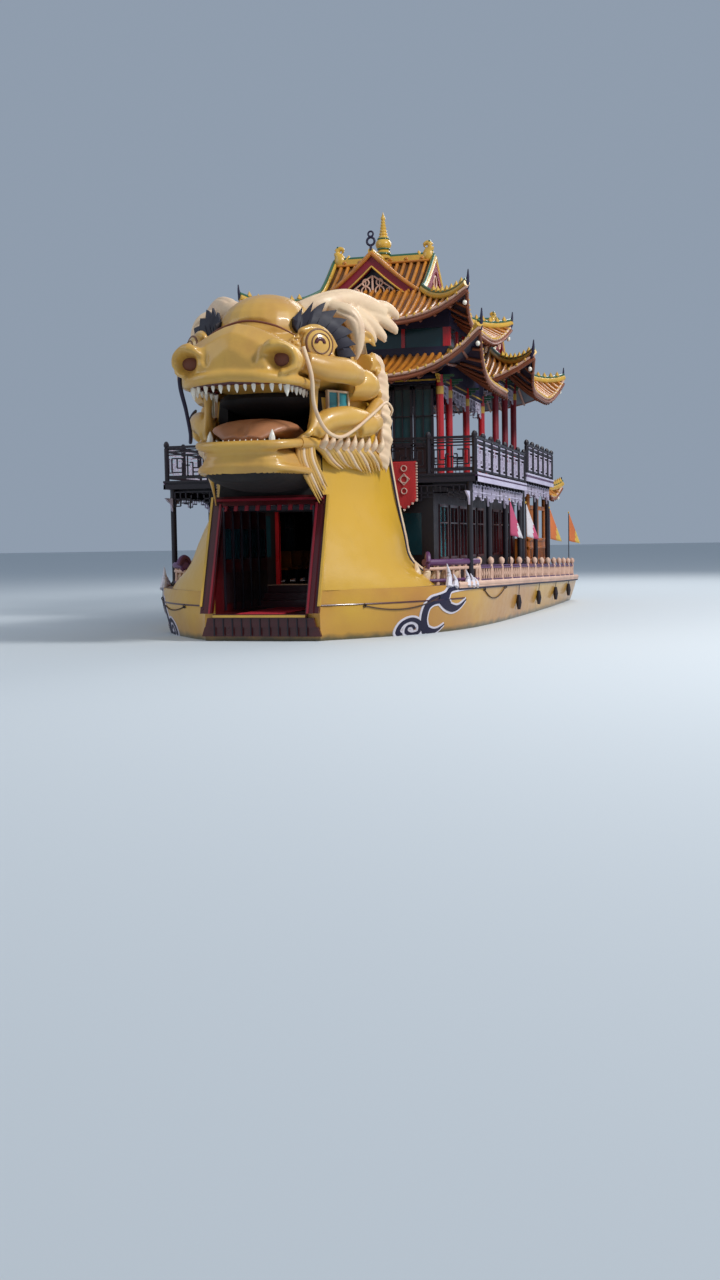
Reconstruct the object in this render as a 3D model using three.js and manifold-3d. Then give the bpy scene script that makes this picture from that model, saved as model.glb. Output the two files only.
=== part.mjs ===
// A decked pleasure boat built in the form of a dragon: the boarding passage runs through its neck, and two
// tiled pavilions stand on the upper deck. Millimetres, +Z up, Z 0 at the waterline, bow towards -Y, port +X.
import * as THREE from "three";
import { mergeVertices } from "three/addons/utils/BufferGeometryUtils.js";
import Module from "manifold-3d";

const wasm = await Module();
wasm.setup();

// Driving dimensions
const BOW_SILL_Y = -11200; // front edge of the boarding sill
const HULL_LENGTH = 22800; // bow sill to transom
const SEAT_GAP = 0.3; // between pieces that rest on each other
const PASSAGE_HALF = 1270; // half width of the boarding passage
const PASSAGE_FLOOR = 700;
const PASSAGE_TOP = 3500;
const FORE_DECK = { from: 4950, to: 14350, half: 4750, bottom: 4150, top: 4400 };
const AFT_DECK = { from: 14450, to: 21600, half: 4750, bottom: 4500, top: 4780 };
const RAIL_HEIGHT = 1080; // balcony rails
const DECK_RAIL_HEIGHT = 700; // lotus-post rails on the gunwale
const SALOON_HALF = 3400;
const COLONNADE_X = 4500; // posts under the balcony edge
const PAVILION_HALF = 2950; // fore pavilion, outer face of its columns
const AFT_PAVILION_HALF = 3350;
const CHEEK_FOOT = 5110; // the beards end below this height, and the cheeks above it
const PROPELLER = { x: 1600, aft: 20700, z: -1020, radius: 350, shaft: 42 };
const RUDDER = { x: 1600, aft: 21650, stock: 45, chord: 700 };
const SHAFT_SIDES = 32;
const RUNNING_FIT = 0.6; // between a turning shaft and its bore

// Hull sections. aft: from the bow sill, deck: half beam and height of the deck edge, knuckle: half beam at
// 900 mm, water: half beam at the waterline, keel: depth of the bottom.
const HULL_SECTIONS = [
  { aft: 0, deck: 1480, height: 1280, knuckle: 1540, water: 1560, keel: -250 },
  { aft: 900, deck: 2380, height: 1280, knuckle: 2480, water: 2330, keel: -480 },
  { aft: 1900, deck: 3230, height: 1280, knuckle: 3330, water: 3100, keel: -700 },
  { aft: 3000, deck: 3950, height: 1280, knuckle: 4010, water: 3760, keel: -880 },
  { aft: 4200, deck: 4480, height: 1280, knuckle: 4460, water: 4240, keel: -1000 },
  { aft: 5600, deck: 4780, height: 1270, knuckle: 4760, water: 4560, keel: -1080 },
  { aft: 8000, deck: 5000, height: 1230, knuckle: 4980, water: 4820, keel: -1100 },
  { aft: 12000, deck: 5220, height: 1160, knuckle: 5170, water: 5020, keel: -1100 },
  { aft: 17000, deck: 5420, height: 1060, knuckle: 5400, water: 5180, keel: -950 },
  { aft: 20000, deck: 5480, height: 1000, knuckle: 5460, water: 5220, keel: -620 },
  { aft: HULL_LENGTH, deck: 5500, height: 950, knuckle: 5490, water: 5220, keel: -200 },
];

// Neck outlines at each height, half width and distance aft, from the door frame round to the back.
const NECK_LEVELS = [
  { z: 1280 + SEAT_GAP, outline: [[1480, 30], [2330, 900], [3150, 1900], [3700, 3000], [3740, 4190]] },
  { z: 1970, outline: [[1470, 250], [2130, 1000], [2700, 1900], [3030, 3000], [2990, 4190]] },
  { z: 2700, outline: [[1450, 520], [1900, 1150], [2400, 2000], [2780, 3100], [2800, 4180]] },
  { z: 3650, outline: [[1430, 860], [1620, 1300], [1960, 2050], [2350, 3100], [2620, 4100]] },
  { z: 4700, outline: [[1400, 1000], [1600, 1400], [1950, 2100], [2300, 2950], [2480, 3950]] },
  { z: 5600, outline: [[1400, 900], [1650, 1350], [2000, 2050], [2300, 2850], [2400, 3800]] },
  { z: 6250, outline: [[1330, 900], [1620, 1350], [1930, 2000], [2140, 2800], [2150, 3700]] },
];

// Skull sections along the boat: half width, lowest and highest point.
const SKULL_SECTIONS = [
  { aft: -1950, half: 700, low: 6600, high: 7200 },
  { aft: -1780, half: 1180, low: 6450, high: 7600 },
  { aft: -1350, half: 1480, low: 6400, high: 7880 },
  { aft: -850, half: 1520, low: 6410, high: 7860 },
  { aft: -400, half: 1440, low: 6420, high: 7820 },
  { aft: 0, half: 1530, low: 6360, high: 8180 },
  { aft: 450, half: 1700, low: 6300, high: 8660 },
  { aft: 1000, half: 1830, low: 6260, high: 8930 },
  { aft: 1700, half: 1950, low: 6260, high: 8880 },
  { aft: 2400, half: 2000, low: 6260, high: 8500 },
  { aft: 3100, half: 1800, low: 6260, high: 7850 },
  { aft: 3600, half: 1300, low: 6260, high: 7150 },
];
const JAW_SECTIONS = [
  { aft: -1500, half: 700, low: 4620, high: 4900 },
  { aft: -1330, half: 1000, low: 4440, high: 5010 },
  { aft: -700, half: 1230, low: 4330, high: 5060 },
  { aft: 0, half: 1300, low: 4180, high: 5050 },
  { aft: 1250, half: 1400, low: 3800, high: 5100 },
];

const COLOURS = {
  hull: 0xd2a348, head: 0xd9ad5e, cream: 0xe2c9a2, navy: 0x14142e, maroon: 0x4a0b10, carpet: 0xb01626,
  tile: 0xc08a40, ridge: 0xcda356, red: 0xb3202a, darkRed: 0x6b1420, white: 0xd8d2de, dark: 0x2c2028,
  rail: 0xcfa692, wood: 0xa8652a, tooth: 0xf2ead8, pink: 0xb47a68, bronze: 0x8a6a34,
  purple: 0x6a4a70, saloon: 0x5b2a24, eye: 0xe8dcc0,
};

// Helpers
const along = (aft) => BOW_SILL_Y + aft;
const both = (make) => { make(1, "port"); make(-1, "starboard"); };
const lerp = THREE.MathUtils.lerp;
const group = new THREE.Group();

function solid(geometry) {
  const bare = geometry.index ? geometry.toNonIndexed() : geometry.clone();
  bare.deleteAttribute("normal");
  bare.deleteAttribute("uv");
  const merged = mergeVertices(bare, 1e-3);
  return new wasm.Manifold(new wasm.Mesh({
    numProp: 3,
    vertProperties: merged.attributes.position.array,
    triVerts: new Uint32Array(merged.index.array),
  }));
}

function geometryOf(body) {
  const mesh = body.getMesh();
  const positions = new Float32Array(mesh.numVert * 3);
  for (let i = 0; i < mesh.numVert; i++) {
    positions.set(mesh.vertProperties.subarray(i * mesh.numProp, i * mesh.numProp + 3), i * 3);
  }
  const geometry = new THREE.BufferGeometry();
  geometry.setAttribute("position", new THREE.BufferAttribute(positions, 3));
  geometry.setIndex(new THREE.BufferAttribute(new Uint32Array(mesh.triVerts), 1));
  const flat = geometry.toNonIndexed();
  flat.computeVertexNormals();
  return flat;
}

function add(name, body, colour, roughness = 0.6, metalness = 0) {
  const material = new THREE.MeshStandardMaterial({ color: colour, roughness, metalness });
  const mesh = new THREE.Mesh(geometryOf(largest(body)), material);
  mesh.name = name;
  group.add(mesh);
}

function largest(body) {
  return body.decompose().reduce((a, b) => (b.volume() > a.volume() ? b : a));
}

function join(bodies) {
  return bodies.reduce((a, b) => a.add(b));
}

// Cuts a piece back to its carrier and leaves the seat gap between them: a copy of the carrier, moved by the gap
// in each direction given, is taken out of it.
function seat(piece, carrier, ...directions) {
  return directions.reduce(
    (left, towards) => left.subtract(carrier.translate(towards.map((v) => v * SEAT_GAP))), piece);
}
const UP = [0, 0, 1];
const DOWN = [0, 0, -1];

const mirrored = (body) => body.scale([-1, 1, 1]);
const sided = (body, side) => (side > 0 ? body : mirrored(body));

// A box from its low corner to its high corner, with Y given as the distance aft of the sill.
function block([x0, a0, z0], [x1, a1, z1]) {
  const geometry = new THREE.BoxGeometry(x1 - x0, a1 - a0, z1 - z0);
  geometry.translate((x0 + x1) / 2, along((a0 + a1) / 2), (z0 + z1) / 2);
  return solid(geometry);
}

// A closed skin over rings with the same number of points each, capped flat at both ends.
function skin(rings) {
  const count = rings[0].length;
  const positions = rings.flat(2);
  const index = [];
  for (let r = 0; r + 1 < rings.length; r++) {
    for (let i = 0; i < count; i++) {
      const a = r * count + i;
      const b = r * count + ((i + 1) % count);
      index.push(a, b, b + count, a, b + count, a + count);
    }
  }
  for (const [first, turn] of [[0, false], [(rings.length - 1) * count, true]]) {
    const ring = rings[first / count];
    const centre = positions.length / 3;
    positions.push(...[0, 1, 2].map((k) => ring.reduce((sum, p) => sum + p[k], 0) / count));
    for (let i = 0; i < count; i++) {
      const a = first + i;
      const b = first + ((i + 1) % count);
      index.push(...(turn ? [a, b, centre] : [b, a, centre]));
    }
  }
  return outward(positions, index);
}

// Makes the solid, with its faces turned out.
function outward(positions, index) {
  let volume = 0;
  const at = (i) => new THREE.Vector3().fromArray(positions, 3 * i);
  for (let i = 0; i < index.length; i += 3) {
    volume += at(index[i]).dot(at(index[i + 1]).cross(at(index[i + 2])));
  }
  const turned = volume > 0 ? index : index.slice().reverse();
  const geometry = new THREE.BufferGeometry();
  geometry.setAttribute("position", new THREE.Float32BufferAttribute(positions, 3));
  geometry.setIndex(turned);
  return solid(geometry);
}

// A round bar along points given as [x, aft, z], of one radius or tapering to an end radius.
function bar(points, radius, endRadius = radius, sides = 6, steps = 6) {
  const curve = new THREE.CatmullRomCurve3(points.map(([x, a, z]) => new THREE.Vector3(x, along(a), z)));
  const frames = curve.computeFrenetFrames(steps, false);
  const rings = [];
  for (let s = 0; s <= steps; s++) {
    const centre = curve.getPointAt(s / steps);
    const size = lerp(radius, endRadius, s / steps);
    const ring = [];
    for (let k = 0; k < sides; k++) {
      const turn = (2 * Math.PI * k) / sides;
      const p = centre.clone()
        .addScaledVector(frames.normals[s], size * Math.cos(turn))
        .addScaledVector(frames.binormals[s], size * Math.sin(turn));
      ring.push(p.toArray());
    }
    rings.push(ring);
  }
  return skin(rings);
}

function ball([x, a, z], [rx, ry, rz], across = 10, down = 6) {
  const geometry = new THREE.SphereGeometry(1, across, down);
  geometry.rotateX(Math.PI / 2);
  geometry.scale(rx, ry, rz);
  geometry.translate(x, along(a), z);
  return solid(geometry);
}

// A turned upright piece: profile rows are [radius, height], closed on its axis.
function turned([x, a, z], profile, sides = 8) {
  const points = profile.map(([r, h]) => new THREE.Vector2(r, h));
  const geometry = new THREE.LatheGeometry(points, sides);
  geometry.rotateX(Math.PI / 2);
  geometry.translate(x, along(a), z);
  return solid(geometry);
}

// A plate cut from an outline in the X-Z plane, or in the Y-Z plane, with its thickness across it.
function plateAcross(outline, aftFrom, thickness) {
  const shape = new THREE.Shape(outline.map(([x, z]) => new THREE.Vector2(x, z)));
  const geometry = new THREE.ExtrudeGeometry(shape, { depth: thickness, bevelEnabled: false });
  geometry.rotateX(Math.PI / 2);
  geometry.translate(0, along(aftFrom) + thickness, 0);
  return solid(geometry);
}

function plateAlong(outline, xFrom, thickness) {
  const shape = new THREE.Shape(outline.map(([a, z]) => new THREE.Vector2(along(a), z)));
  const geometry = new THREE.ExtrudeGeometry(shape, { depth: thickness, bevelEnabled: false });
  geometry.rotateX(Math.PI / 2);
  geometry.rotateZ(Math.PI / 2);
  geometry.translate(xFrom, 0, 0);
  return solid(geometry);
}

// A rounded section across the boat, used for the skull and jaw.
function oval({ aft, half, low, high }, sides, squareness) {
  const middle = (low + high) / 2;
  const ring = [];
  for (let k = 0; k < sides; k++) {
    const turn = (2 * Math.PI * k) / sides;
    const c = Math.cos(turn);
    const s = Math.sin(turn);
    ring.push([
      half * Math.sign(c) * Math.abs(c) ** squareness,
      along(aft),
      middle + ((high - low) / 2) * Math.sign(s) * Math.abs(s) ** squareness,
    ]);
  }
  return ring;
}

// Hull
function hullRing({ aft, deck, height, knuckle, water, keel }) {
  const half = [
    [deck, height], [knuckle, Math.min(900, height - 40)], [water, 0], [0.93 * water, 0.55 * keel],
    [0.66 * water, 0.92 * keel], [0.08 * water, keel],
  ];
  const other = half.slice().reverse().map(([x, z]) => [-x, z]);
  return [...half, ...other].map(([x, z]) => [x, along(aft), z]);
}

// Half beam and height of the deck edge at a distance aft.
function deckEdge(aft) {
  const i = Math.max(1, HULL_SECTIONS.findIndex((s) => s.aft >= aft));
  const [a, b] = [HULL_SECTIONS[i - 1], HULL_SECTIONS[i]];
  const t = (aft - a.aft) / (b.aft - a.aft);
  return { half: lerp(a.deck, b.deck, t), height: lerp(a.height, b.height, t) };
}

function makeHull() {
  let hull = skin(HULL_SECTIONS.map(hullRing));
  const keel = plateAlong([[6000, -1000], [15500, -1000], [15500, -1350], [7200, -1350]], -90, 180);
  hull = hull.add(keel);
  both((side) => {
    const { x, aft, z } = PROPELLER;
    const skeg = plateAlong([[14500, -600], [20500, -300], [20430, z - 150], [16500, z - 150]], side * x - 80, 160);
    const boss = rod([side * x, 18600, z], [side * x, 20450, z], 130, 12);
    const bore = rod([side * x, 20100, z], [side * x, 20600, z], PROPELLER.shaft + RUNNING_FIT, SHAFT_SIDES);
    const [trunkX, trunkAft] = [side * RUDDER.x, RUDDER.aft];
    const tube = rod([trunkX, trunkAft, -700], [trunkX, trunkAft, 40], RUDDER.stock + RUNNING_FIT, SHAFT_SIDES);
    hull = hull.add(skeg).add(boss).subtract(bore).subtract(tube);
  });
  const steps = [[3400, PASSAGE_FLOOR], [3800, 890], [4210, 1080]];
  let from = -200;
  for (const [to, floor] of steps) {
    hull = hull.subtract(block([-PASSAGE_HALF, from, floor], [PASSAGE_HALF, to, 1500]));
    from = to;
  }
  return hull;
}

// A straight round rod between two points given as [x, aft, z].
function rod(from, to, radius, sides = 8) {
  const [start, end] = [from, to].map(([x, a, z]) => new THREE.Vector3(x, along(a), z));
  const span = end.clone().sub(start);
  const geometry = new THREE.CylinderGeometry(radius, radius, span.length(), sides);
  const turn = new THREE.Quaternion().setFromUnitVectors(new THREE.Vector3(0, 1, 0), span.clone().normalize());
  geometry.applyQuaternion(turn);
  geometry.translate(...start.add(end).multiplyScalar(0.5).toArray());
  return solid(geometry);
}

// Neck with its passage and the dark throat behind the mouth
function makeNeck() {
  const rings = NECK_LEVELS.map(({ z, outline }) => {
    const port = outline.map(([x, a]) => [x, along(a), z]);
    const starboard = outline.slice().reverse().map(([x, a]) => [-x, along(a), z]);
    return [...port, ...starboard];
  });
  return skin(rings)
    .subtract(block([-PASSAGE_HALF, -100, 1000], [PASSAGE_HALF, 4400, PASSAGE_TOP]))
    .subtract(block([-1130, 0, 5060], [1130, 2600, 6300]));
}

// Head
function makeSkull() {
  let skull = skin(SKULL_SECTIONS.map((row) => oval(row, 16, 0.8)));
  both((side) => {
    skull = skull
      .add(ball([side * 1150, -1330, 6930], [500, 480, 430], 10, 6))
      .add(ball([side * 1420, 150, 7420], [330, 420, 430], 8, 5))
      .add(sided(bar([[1700, 1900, 7750], [2200, 2100, 7900], [2450, 2350, 7750]], 210, 60, 8, 4), side))
      .subtract(ball([side * 1180, -1900, 6900], [190, 260, 150], 8, 4));
  });
  return skull.subtract(block([-3000, -3000, 5000], [3000, 5000, 6250 + SEAT_GAP]));
}

function makeCheek(side, skull, neck, jaw) {
  const rolls = join([
    bar([[1500, 100, 6650], [1950, 300, 6880], [2180, 900, 6880], [2260, 1500, 6800]], 330, 240, 8, 5),
    bar([[1900, 1700, 6600], [2230, 2250, 6640], [2180, 2850, 6600]], 420, 330, 8, 4),
    bar([[1450, 300, 5400], [1700, 600, 5610], [2050, 1200, 5740], [2300, 2000, 5700]], 290, 270, 8, 5),
    bar([[2150, 1700, 5500], [2350, 2100, 5600], [2450, 2700, 5700]], 310, 240, 8, 4),
    bar([[1430, 200, 5250], [1470, 260, 5900], [1500, 300, 6600]], 150, 150, 6, 3),
  ]);
  const footed = rolls.subtract(block([0, -2000, 4000], [4000, 5000, CHEEK_FOOT]));
  const clearOfSkull = seat(sided(footed, side), skull, [side, 0, -1]);
  return largest(seat(seat(clearOfSkull, neck, [side, -1, 0]), jaw, [side, 0, 1]));
}

function makeTeeth(rows, down) {
  const teeth = [];
  for (const { x, aft, size, z } of rows) {
    const profile = down ? [[0, -size], [0.34 * size, 0]] : [[0.34 * size, 0], [0, size]];
    const closed = down ? [...profile, [0, 60]] : [[0, -60], ...profile];
    teeth.push(turned([x, aft, z], closed, 4));
  }
  return teeth;
}

function gumPath(half, front, back) {
  // The tooth line: across the front and back along both sides.
  const points = [];
  for (const t of [0, 0.33, 0.66, 1]) points.push([-half, lerp(back, front + 500, t)]);
  for (const t of [0.15, 0.38, 0.62, 0.85]) points.push([lerp(-half, half, t), front + 140]);
  for (const t of [1, 0.66, 0.33, 0]) points.push([half, lerp(back, front + 500, t)]);
  return points;
}

function makeToothRow(path, z, sizes, down, gum) {
  const rows = path.map(([x, aft], i) => ({ x, aft, z, size: sizes[i % sizes.length] }));
  const rail = bar(path.map(([x, a]) => [x, a, z + (down ? 45 : -45)]), gum, gum, 4, 12);
  return join([rail, ...makeTeeth(rows, down)]);
}

function makeAntler() {
  return join([
    bar([[900, 1250, 8560], [1450, 1800, 8800], [1900, 2500, 8900], [2450, 3150, 8720]], 270, 200, 7, 5),
    bar([[2100, 2900, 8650], [2550, 3250, 8480], [2880, 3400, 8240]], 200, 70, 6, 3),
    bar([[2200, 3000, 8820], [2600, 3350, 8800], [2850, 3500, 8700]], 190, 70, 6, 3),
    bar([[1900, 2450, 8650], [2350, 2850, 8250], [2650, 3000, 7900]], 190, 70, 6, 3),
    bar([[1600, 1750, 8650], [2150, 1750, 8350], [2250, 1850, 7950]], 210, 110, 6, 3),
    bar([[1500, 1900, 8850], [1700, 2800, 9000], [1800, 3500, 8800]], 200, 80, 6, 4),
  ]);
}

function makeBrow() {
  // A dark crest that stands behind the eye: an arc with flame points standing off it.
  const arc = [[1030, 450, 7930], [1330, 620, 8060], [1620, 800, 7960], [1800, 930, 7780], [1900, 980, 7440],
    [1900, 980, 7280]];
  const tips = [[820, 1000, 8470], [1050, 1100, 8600], [1400, 1130, 8640], [1770, 1150, 8430], [2050, 1250, 8120],
    [2200, 1250, 7770], [2260, 1250, 7390], [2140, 1150, 7250]];
  const curve = new THREE.CatmullRomCurve3(arc.map((p) => new THREE.Vector3(...p)));
  const flames = tips.map((tip, k) => {
    const foot = curve.getPointAt(0.04 + (0.92 * k) / (tips.length - 1));
    return bar([foot.toArray(), tip], 110, 12, 4, 1);
  });
  return join([bar(arc, 110, 80, 5, 6), ...flames]);
}

function makeBeard() {
  const strands = [];
  for (const { root, tip } of [
    { root: [1350, -250], tip: [1480, 650, 3560] }, { root: [1420, 50], tip: [1560, 800, 3900] },
    { root: [1500, 300], tip: [1920, 1850, 4460] }, { root: [1650, 600], tip: [2070, 2120, 4440] },
    { root: [1850, 1050], tip: [2210, 2420, 4420] }, { root: [2030, 1500], tip: [2350, 2750, 4420] },
    { root: [2250, 2000], tip: [2460, 3050, 4420] },
  ]) {
    const start = [...root, 5050];
    const middle = [0, 1, 2].map((k) => lerp(start[k], tip[k], 0.5) + [130, 0, -60][k]);
    strands.push(bar([start, middle, tip], 160, 20, 4, 3));
  }
  const base = bar([[1250, -500, 5030], [1400, 250, 5050], [1580, 900, 5070], [1920, 1800, 5070],
    [2190, 2650, 5090]], 180, 130, 6, 6);
  return join([base, ...strands]).subtract(block([-4000, -2000, CHEEK_FOOT - SEAT_GAP], [4000, 5000, 6000]));
}

function makeWhisker() {
  return bar([[1560, -1000, 7280], [1730, -900, 6600], [1700, -600, 5900], [1800, -100, 5370], [2010, 400, 5170],
    [2230, 1000, 5350], [2620, 1900, 5900], [2760, 2600, 6200], [2870, 2800, 6050], [2800, 2900, 5880]],
    60, 28, 6, 20);
}

function makeMane(skull, neck) {
  const curls = [];
  for (const { z, back, size } of [
    { z: 7500, back: 3450, size: 620 }, { z: 6750, back: 3900, size: 560 }, { z: 6050, back: 3980, size: 520 },
    { z: 5350, back: 4050, size: 480 }, { z: 4750, back: 4120, size: 420 },
  ]) {
    curls.push(ball([0, back, z], [0.9 * size + 900, size, size], 8, 5));
    for (const side of [-1, 1]) curls.push(ball([side * (1500 + size), back - 60, z - 150], [380, 330, 420], 6, 4));
  }
  return seat(seat(join(curls), skull, [0, 1, 0], DOWN), neck, [0, 1, 0]);
}

// Roofs. A hipped shell between an eave rectangle and an inner rectangle, its corners swept up and out, on a
// concave slope. Rectangles are { half, from, to } in X and in distance aft.
const HIP_SIDE_STEPS = 6;
const HIP_ROWS = 3;
const TILE_ROW = { half: 75, rise: 60, sink: 50, pitch: 700 };

// One ring of the slope as [x, aft, z], from the eave at t 0 to the inner rectangle at t 1.
function hipRing({ eave, inner, eaveZ, cornerZ, innerZ, flare }, t) {
  const half = lerp(eave.half - flare, inner.half, t);
  const from = lerp(eave.from + flare, inner.from, t);
  const to = lerp(eave.to - flare, inner.to, t);
  const corners = [[-half, from], [half, from], [half, to], [-half, to]];
  const ring = [];
  corners.forEach((corner, c) => {
    const next = corners[(c + 1) % 4];
    for (let i = 0; i < HIP_SIDE_STEPS; i++) {
      const u = i / HIP_SIDE_STEPS;
      const edge = Math.abs(2 * u - 1) ** 4 * (1 - t) ** 2;
      const x = lerp(corner[0], next[0], u);
      const a = lerp(corner[1], next[1], u);
      const out = new THREE.Vector2(x, a - (from + to) / 2).normalize().multiplyScalar(edge * flare * 1.41);
      const slope = eaveZ + (innerZ - eaveZ) * t ** 1.25;
      ring.push([x + out.x, a + out.y, slope + (cornerZ - eaveZ) * edge]);
    }
  });
  return ring;
}

// A point on the flat facets of the slope: side 0 to 3 from the fore eave round, u along it, t up it.
function slopePoint(roof, side, u, t) {
  const row = Math.min(Math.floor(t * HIP_ROWS), HIP_ROWS - 1);
  const low = hipRing(roof, row / HIP_ROWS);
  const high = hipRing(roof, (row + 1) / HIP_ROWS);
  const step = Math.min(Math.floor(u * HIP_SIDE_STEPS), HIP_SIDE_STEPS - 1);
  const i = side * HIP_SIDE_STEPS + step;
  const j = (i + 1) % low.length;
  const du = u * HIP_SIDE_STEPS - step;
  const dt = t * HIP_ROWS - row;
  return [0, 1, 2].map((k) => lerp(lerp(low[i][k], low[j][k], du), lerp(high[i][k], high[j][k], du), dt));
}

// One raised tile row on a path of [x, aft, z] points that runs across X or along the boat.
function tileRow(path, acrossX) {
  const wide = acrossX ? [TILE_ROW.half, 0] : [0, TILE_ROW.half];
  return skin(path.map(([x, a, z]) => [
    [x - wide[0], along(a - wide[1]), z - TILE_ROW.sink],
    [x + wide[0], along(a + wide[1]), z - TILE_ROW.sink],
    [x, along(a), z + TILE_ROW.rise],
  ]));
}

// The main tile rows of the four slopes, at even spacing, each from the eave to a hip or the inner edge.
function hipTileRows(roof, sides = [0, 1, 2, 3]) {
  const rows = [];
  for (const side of sides) {
    const across = side % 2 === 0;
    const low = (across ? roof.eave.half : (roof.eave.to - roof.eave.from) / 2) - roof.flare;
    const high = across ? roof.inner.half : (roof.inner.to - roof.inner.from) / 2;
    const count = Math.round((2 * low) / TILE_ROW.pitch);
    for (let k = 1; k < count; k++) {
      const place = -low + (2 * low * k) / count;
      const top = Math.abs(place) <= high ? 1 : (low - Math.abs(place)) / (low - high);
      const marks = [0, 1, 2].map((row) => row / HIP_ROWS).filter((t) => t < top - 0.08);
      rows.push(tileRow([...marks, top - 0.02].map((t) => {
        const half = lerp(low, high, t);
        return slopePoint(roof, side, (place + half) / (2 * half), t);
      }), across));
    }
  }
  return rows;
}

function hipShell(roof) {
  const { thickness, closed } = roof;
  const ringAt = (t, drop) => hipRing(roof, t).map(([x, a, z]) => [x, along(a), z - drop]);
  const top = [];
  const under = [];
  for (let r = 0; r <= HIP_ROWS; r++) {
    top.push(ringAt(r / HIP_ROWS, 0));
    under.push(ringAt(r / HIP_ROWS, thickness));
  }
  if (closed) return skin([...under.reverse(), ...top]);
  // An open shell joins its inner edges instead of capping them.
  const rings = [...under.slice().reverse(), ...top];
  const count = rings[0].length;
  const positions = rings.flat(2);
  const index = [];
  for (let r = 0; r < rings.length; r++) {
    for (let i = 0; i < count; i++) {
      const a = r * count + i;
      const b = r * count + ((i + 1) % count);
      const c = ((r + 1) % rings.length) * count + ((i + 1) % count);
      const d = ((r + 1) % rings.length) * count + i;
      index.push(a, b, c, a, c, d);
    }
  }
  return outward(positions, index);
}

// Upswept spikes at the four corners.
function cornerSpikes({ half, from, to }, z, rise) {
  const spikes = [];
  for (const [sx, a, sy] of [[-1, from, -1], [1, from, -1], [1, to, 1], [-1, to, 1]]) {
    spikes.push(bar([
      [sx * (half - 420), a - sy * 420, z - 330],
      [sx * (half - 60), a - sy * 60, z - 60],
      [sx * (half + 10), a + sy * 10, z + rise * 0.5],
      [sx * half, a, z + rise],
    ], 95, 22, 4, 3));
  }
  return spikes;
}

// The upper part of a hip-and-gable roof: two slopes with their tile rows, under a ridge across the boat.
function gableTop({ half, from, to }, baseZ, ridgeZ, sink) {
  const middle = (from + to) / 2;
  const outline = [[from, baseZ - sink], [from, baseZ], [middle - 300, ridgeZ - 330], [middle, ridgeZ],
    [middle + 300, ridgeZ - 330], [to, baseZ], [to, baseZ - sink]];
  const rows = [];
  const count = Math.round((2 * half) / TILE_ROW.pitch);
  for (let k = 1; k < count; k++) {
    const x = -half + (2 * half * k) / count;
    for (const [foot, turn] of [[from, 1], [to, -1]]) {
      rows.push(tileRow([[x, foot - 20 * turn, baseZ], [x, middle - 300 * turn, ridgeZ - 330],
        [x, middle - 40 * turn, ridgeZ - 40]], true));
    }
  }
  return join([plateAlong(outline, -half, 2 * half), ...rows]);
}

function makeRidge(half, aft, z, scale) {
  const pieces = [block([-half, aft - 110, z], [half, aft + 110, z + 240])];
  for (const side of [-1, 1]) {
    pieces.push(ball([side * (half - 60 * scale), aft, z + 260 * scale], [220 * scale, 150, 260 * scale], 10, 6));
    pieces.push(bar([[side * (half - 60 * scale), aft, z + 300 * scale], [side * (half + 40 * scale), aft,
      z + 560 * scale], [side * (half - 160 * scale), aft, z + 640 * scale]], 120 * scale, 40, 6, 4));
  }
  return join(pieces);
}

// Rails and frames
function railRun(points, { height, post, rail, spacing, bud, levels }) {
  // Posts at even spacing along straight runs between points [x, aft, z], with a top, a middle and a bottom rail.
  const pieces = [];
  for (let i = 0; i + 1 < points.length; i++) {
    const [a, b] = [points[i], points[i + 1]];
    const count = Math.max(1, Math.round(Math.hypot(b[0] - a[0], b[1] - a[1]) / spacing));
    for (let k = i ? 1 : 0; k <= count; k++) {
      const foot = a.map((v, c) => lerp(v, b[c], k / count));
      pieces.push(turned([foot[0], foot[1], foot[2] - 60], [[0, 0], [post, 0], [post, height + 60],
        [0, height + bud + 60]], 4));
    }
    for (const level of levels) {
      pieces.push(rod([a[0], a[1], a[2] + level * height], [b[0], b[1], b[2] + level * height], rail, 4));
    }
  }
  return join(pieces);
}

function columnFrame({ half, rows, foot, head, beam, radius }) {
  const pieces = [];
  for (const aft of rows) {
    for (const x of [-half, half]) {
      pieces.push(rod([x, aft, foot], [x, aft, head], radius, 8));
    }
    pieces.push(block([-half - 60, aft - 60, head - beam], [half + 60, aft + 60, head]));
  }
  for (const x of [-half, half]) {
    pieces.push(block([x - 60, rows[0], head - beam], [x + 60, rows[rows.length - 1], head]));
  }
  return join(pieces);
}

function hollowWalls({ half, from, to, low, high, wall }, openings) {
  let walls = block([-half, from, low], [half, to, high])
    .subtract(block([-half + wall, from + wall, low - 10], [half - wall, to - wall, high + 10]));
  for (const [a, b] of openings) walls = walls.subtract(block(a, b));
  return walls;
}

// Hull, sill and gunwale
const hull = makeHull();
add("hull", hull, COLOURS.hull, 0.45);

const sill = join([
  block([-1250, -260, 560], [1250, -SEAT_GAP, PASSAGE_FLOOR]),
  plateAcross([[-1500, 560], [1500, 560], [1620, 120], [-1620, 120]], -60 - SEAT_GAP, 60),
]);
add("bow_sill", sill, COLOURS.maroon, 0.5);
add("carpet", block([-620, 10, PASSAGE_FLOOR + SEAT_GAP], [620, 3300, PASSAGE_FLOOR + 14]), COLOURS.carpet, 0.95);

both((side, name) => {
  const path = [];
  for (const row of HULL_SECTIONS.slice(4)) path.push([row.deck, row.aft, row.height]);
  const wale = [];
  for (const [x, a, z] of path) {
    wale.push([[x - 60, along(a), z - 110], [x + 70, along(a), z - 110], [x + 70, along(a), z + 45],
      [x - 60, along(a), z + 45]]);
  }
  add(`gunwale_${name}`, seat(sided(skin(wale), side), hull, [side, 0, 1]), COLOURS.rail, 0.5);
});

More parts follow.
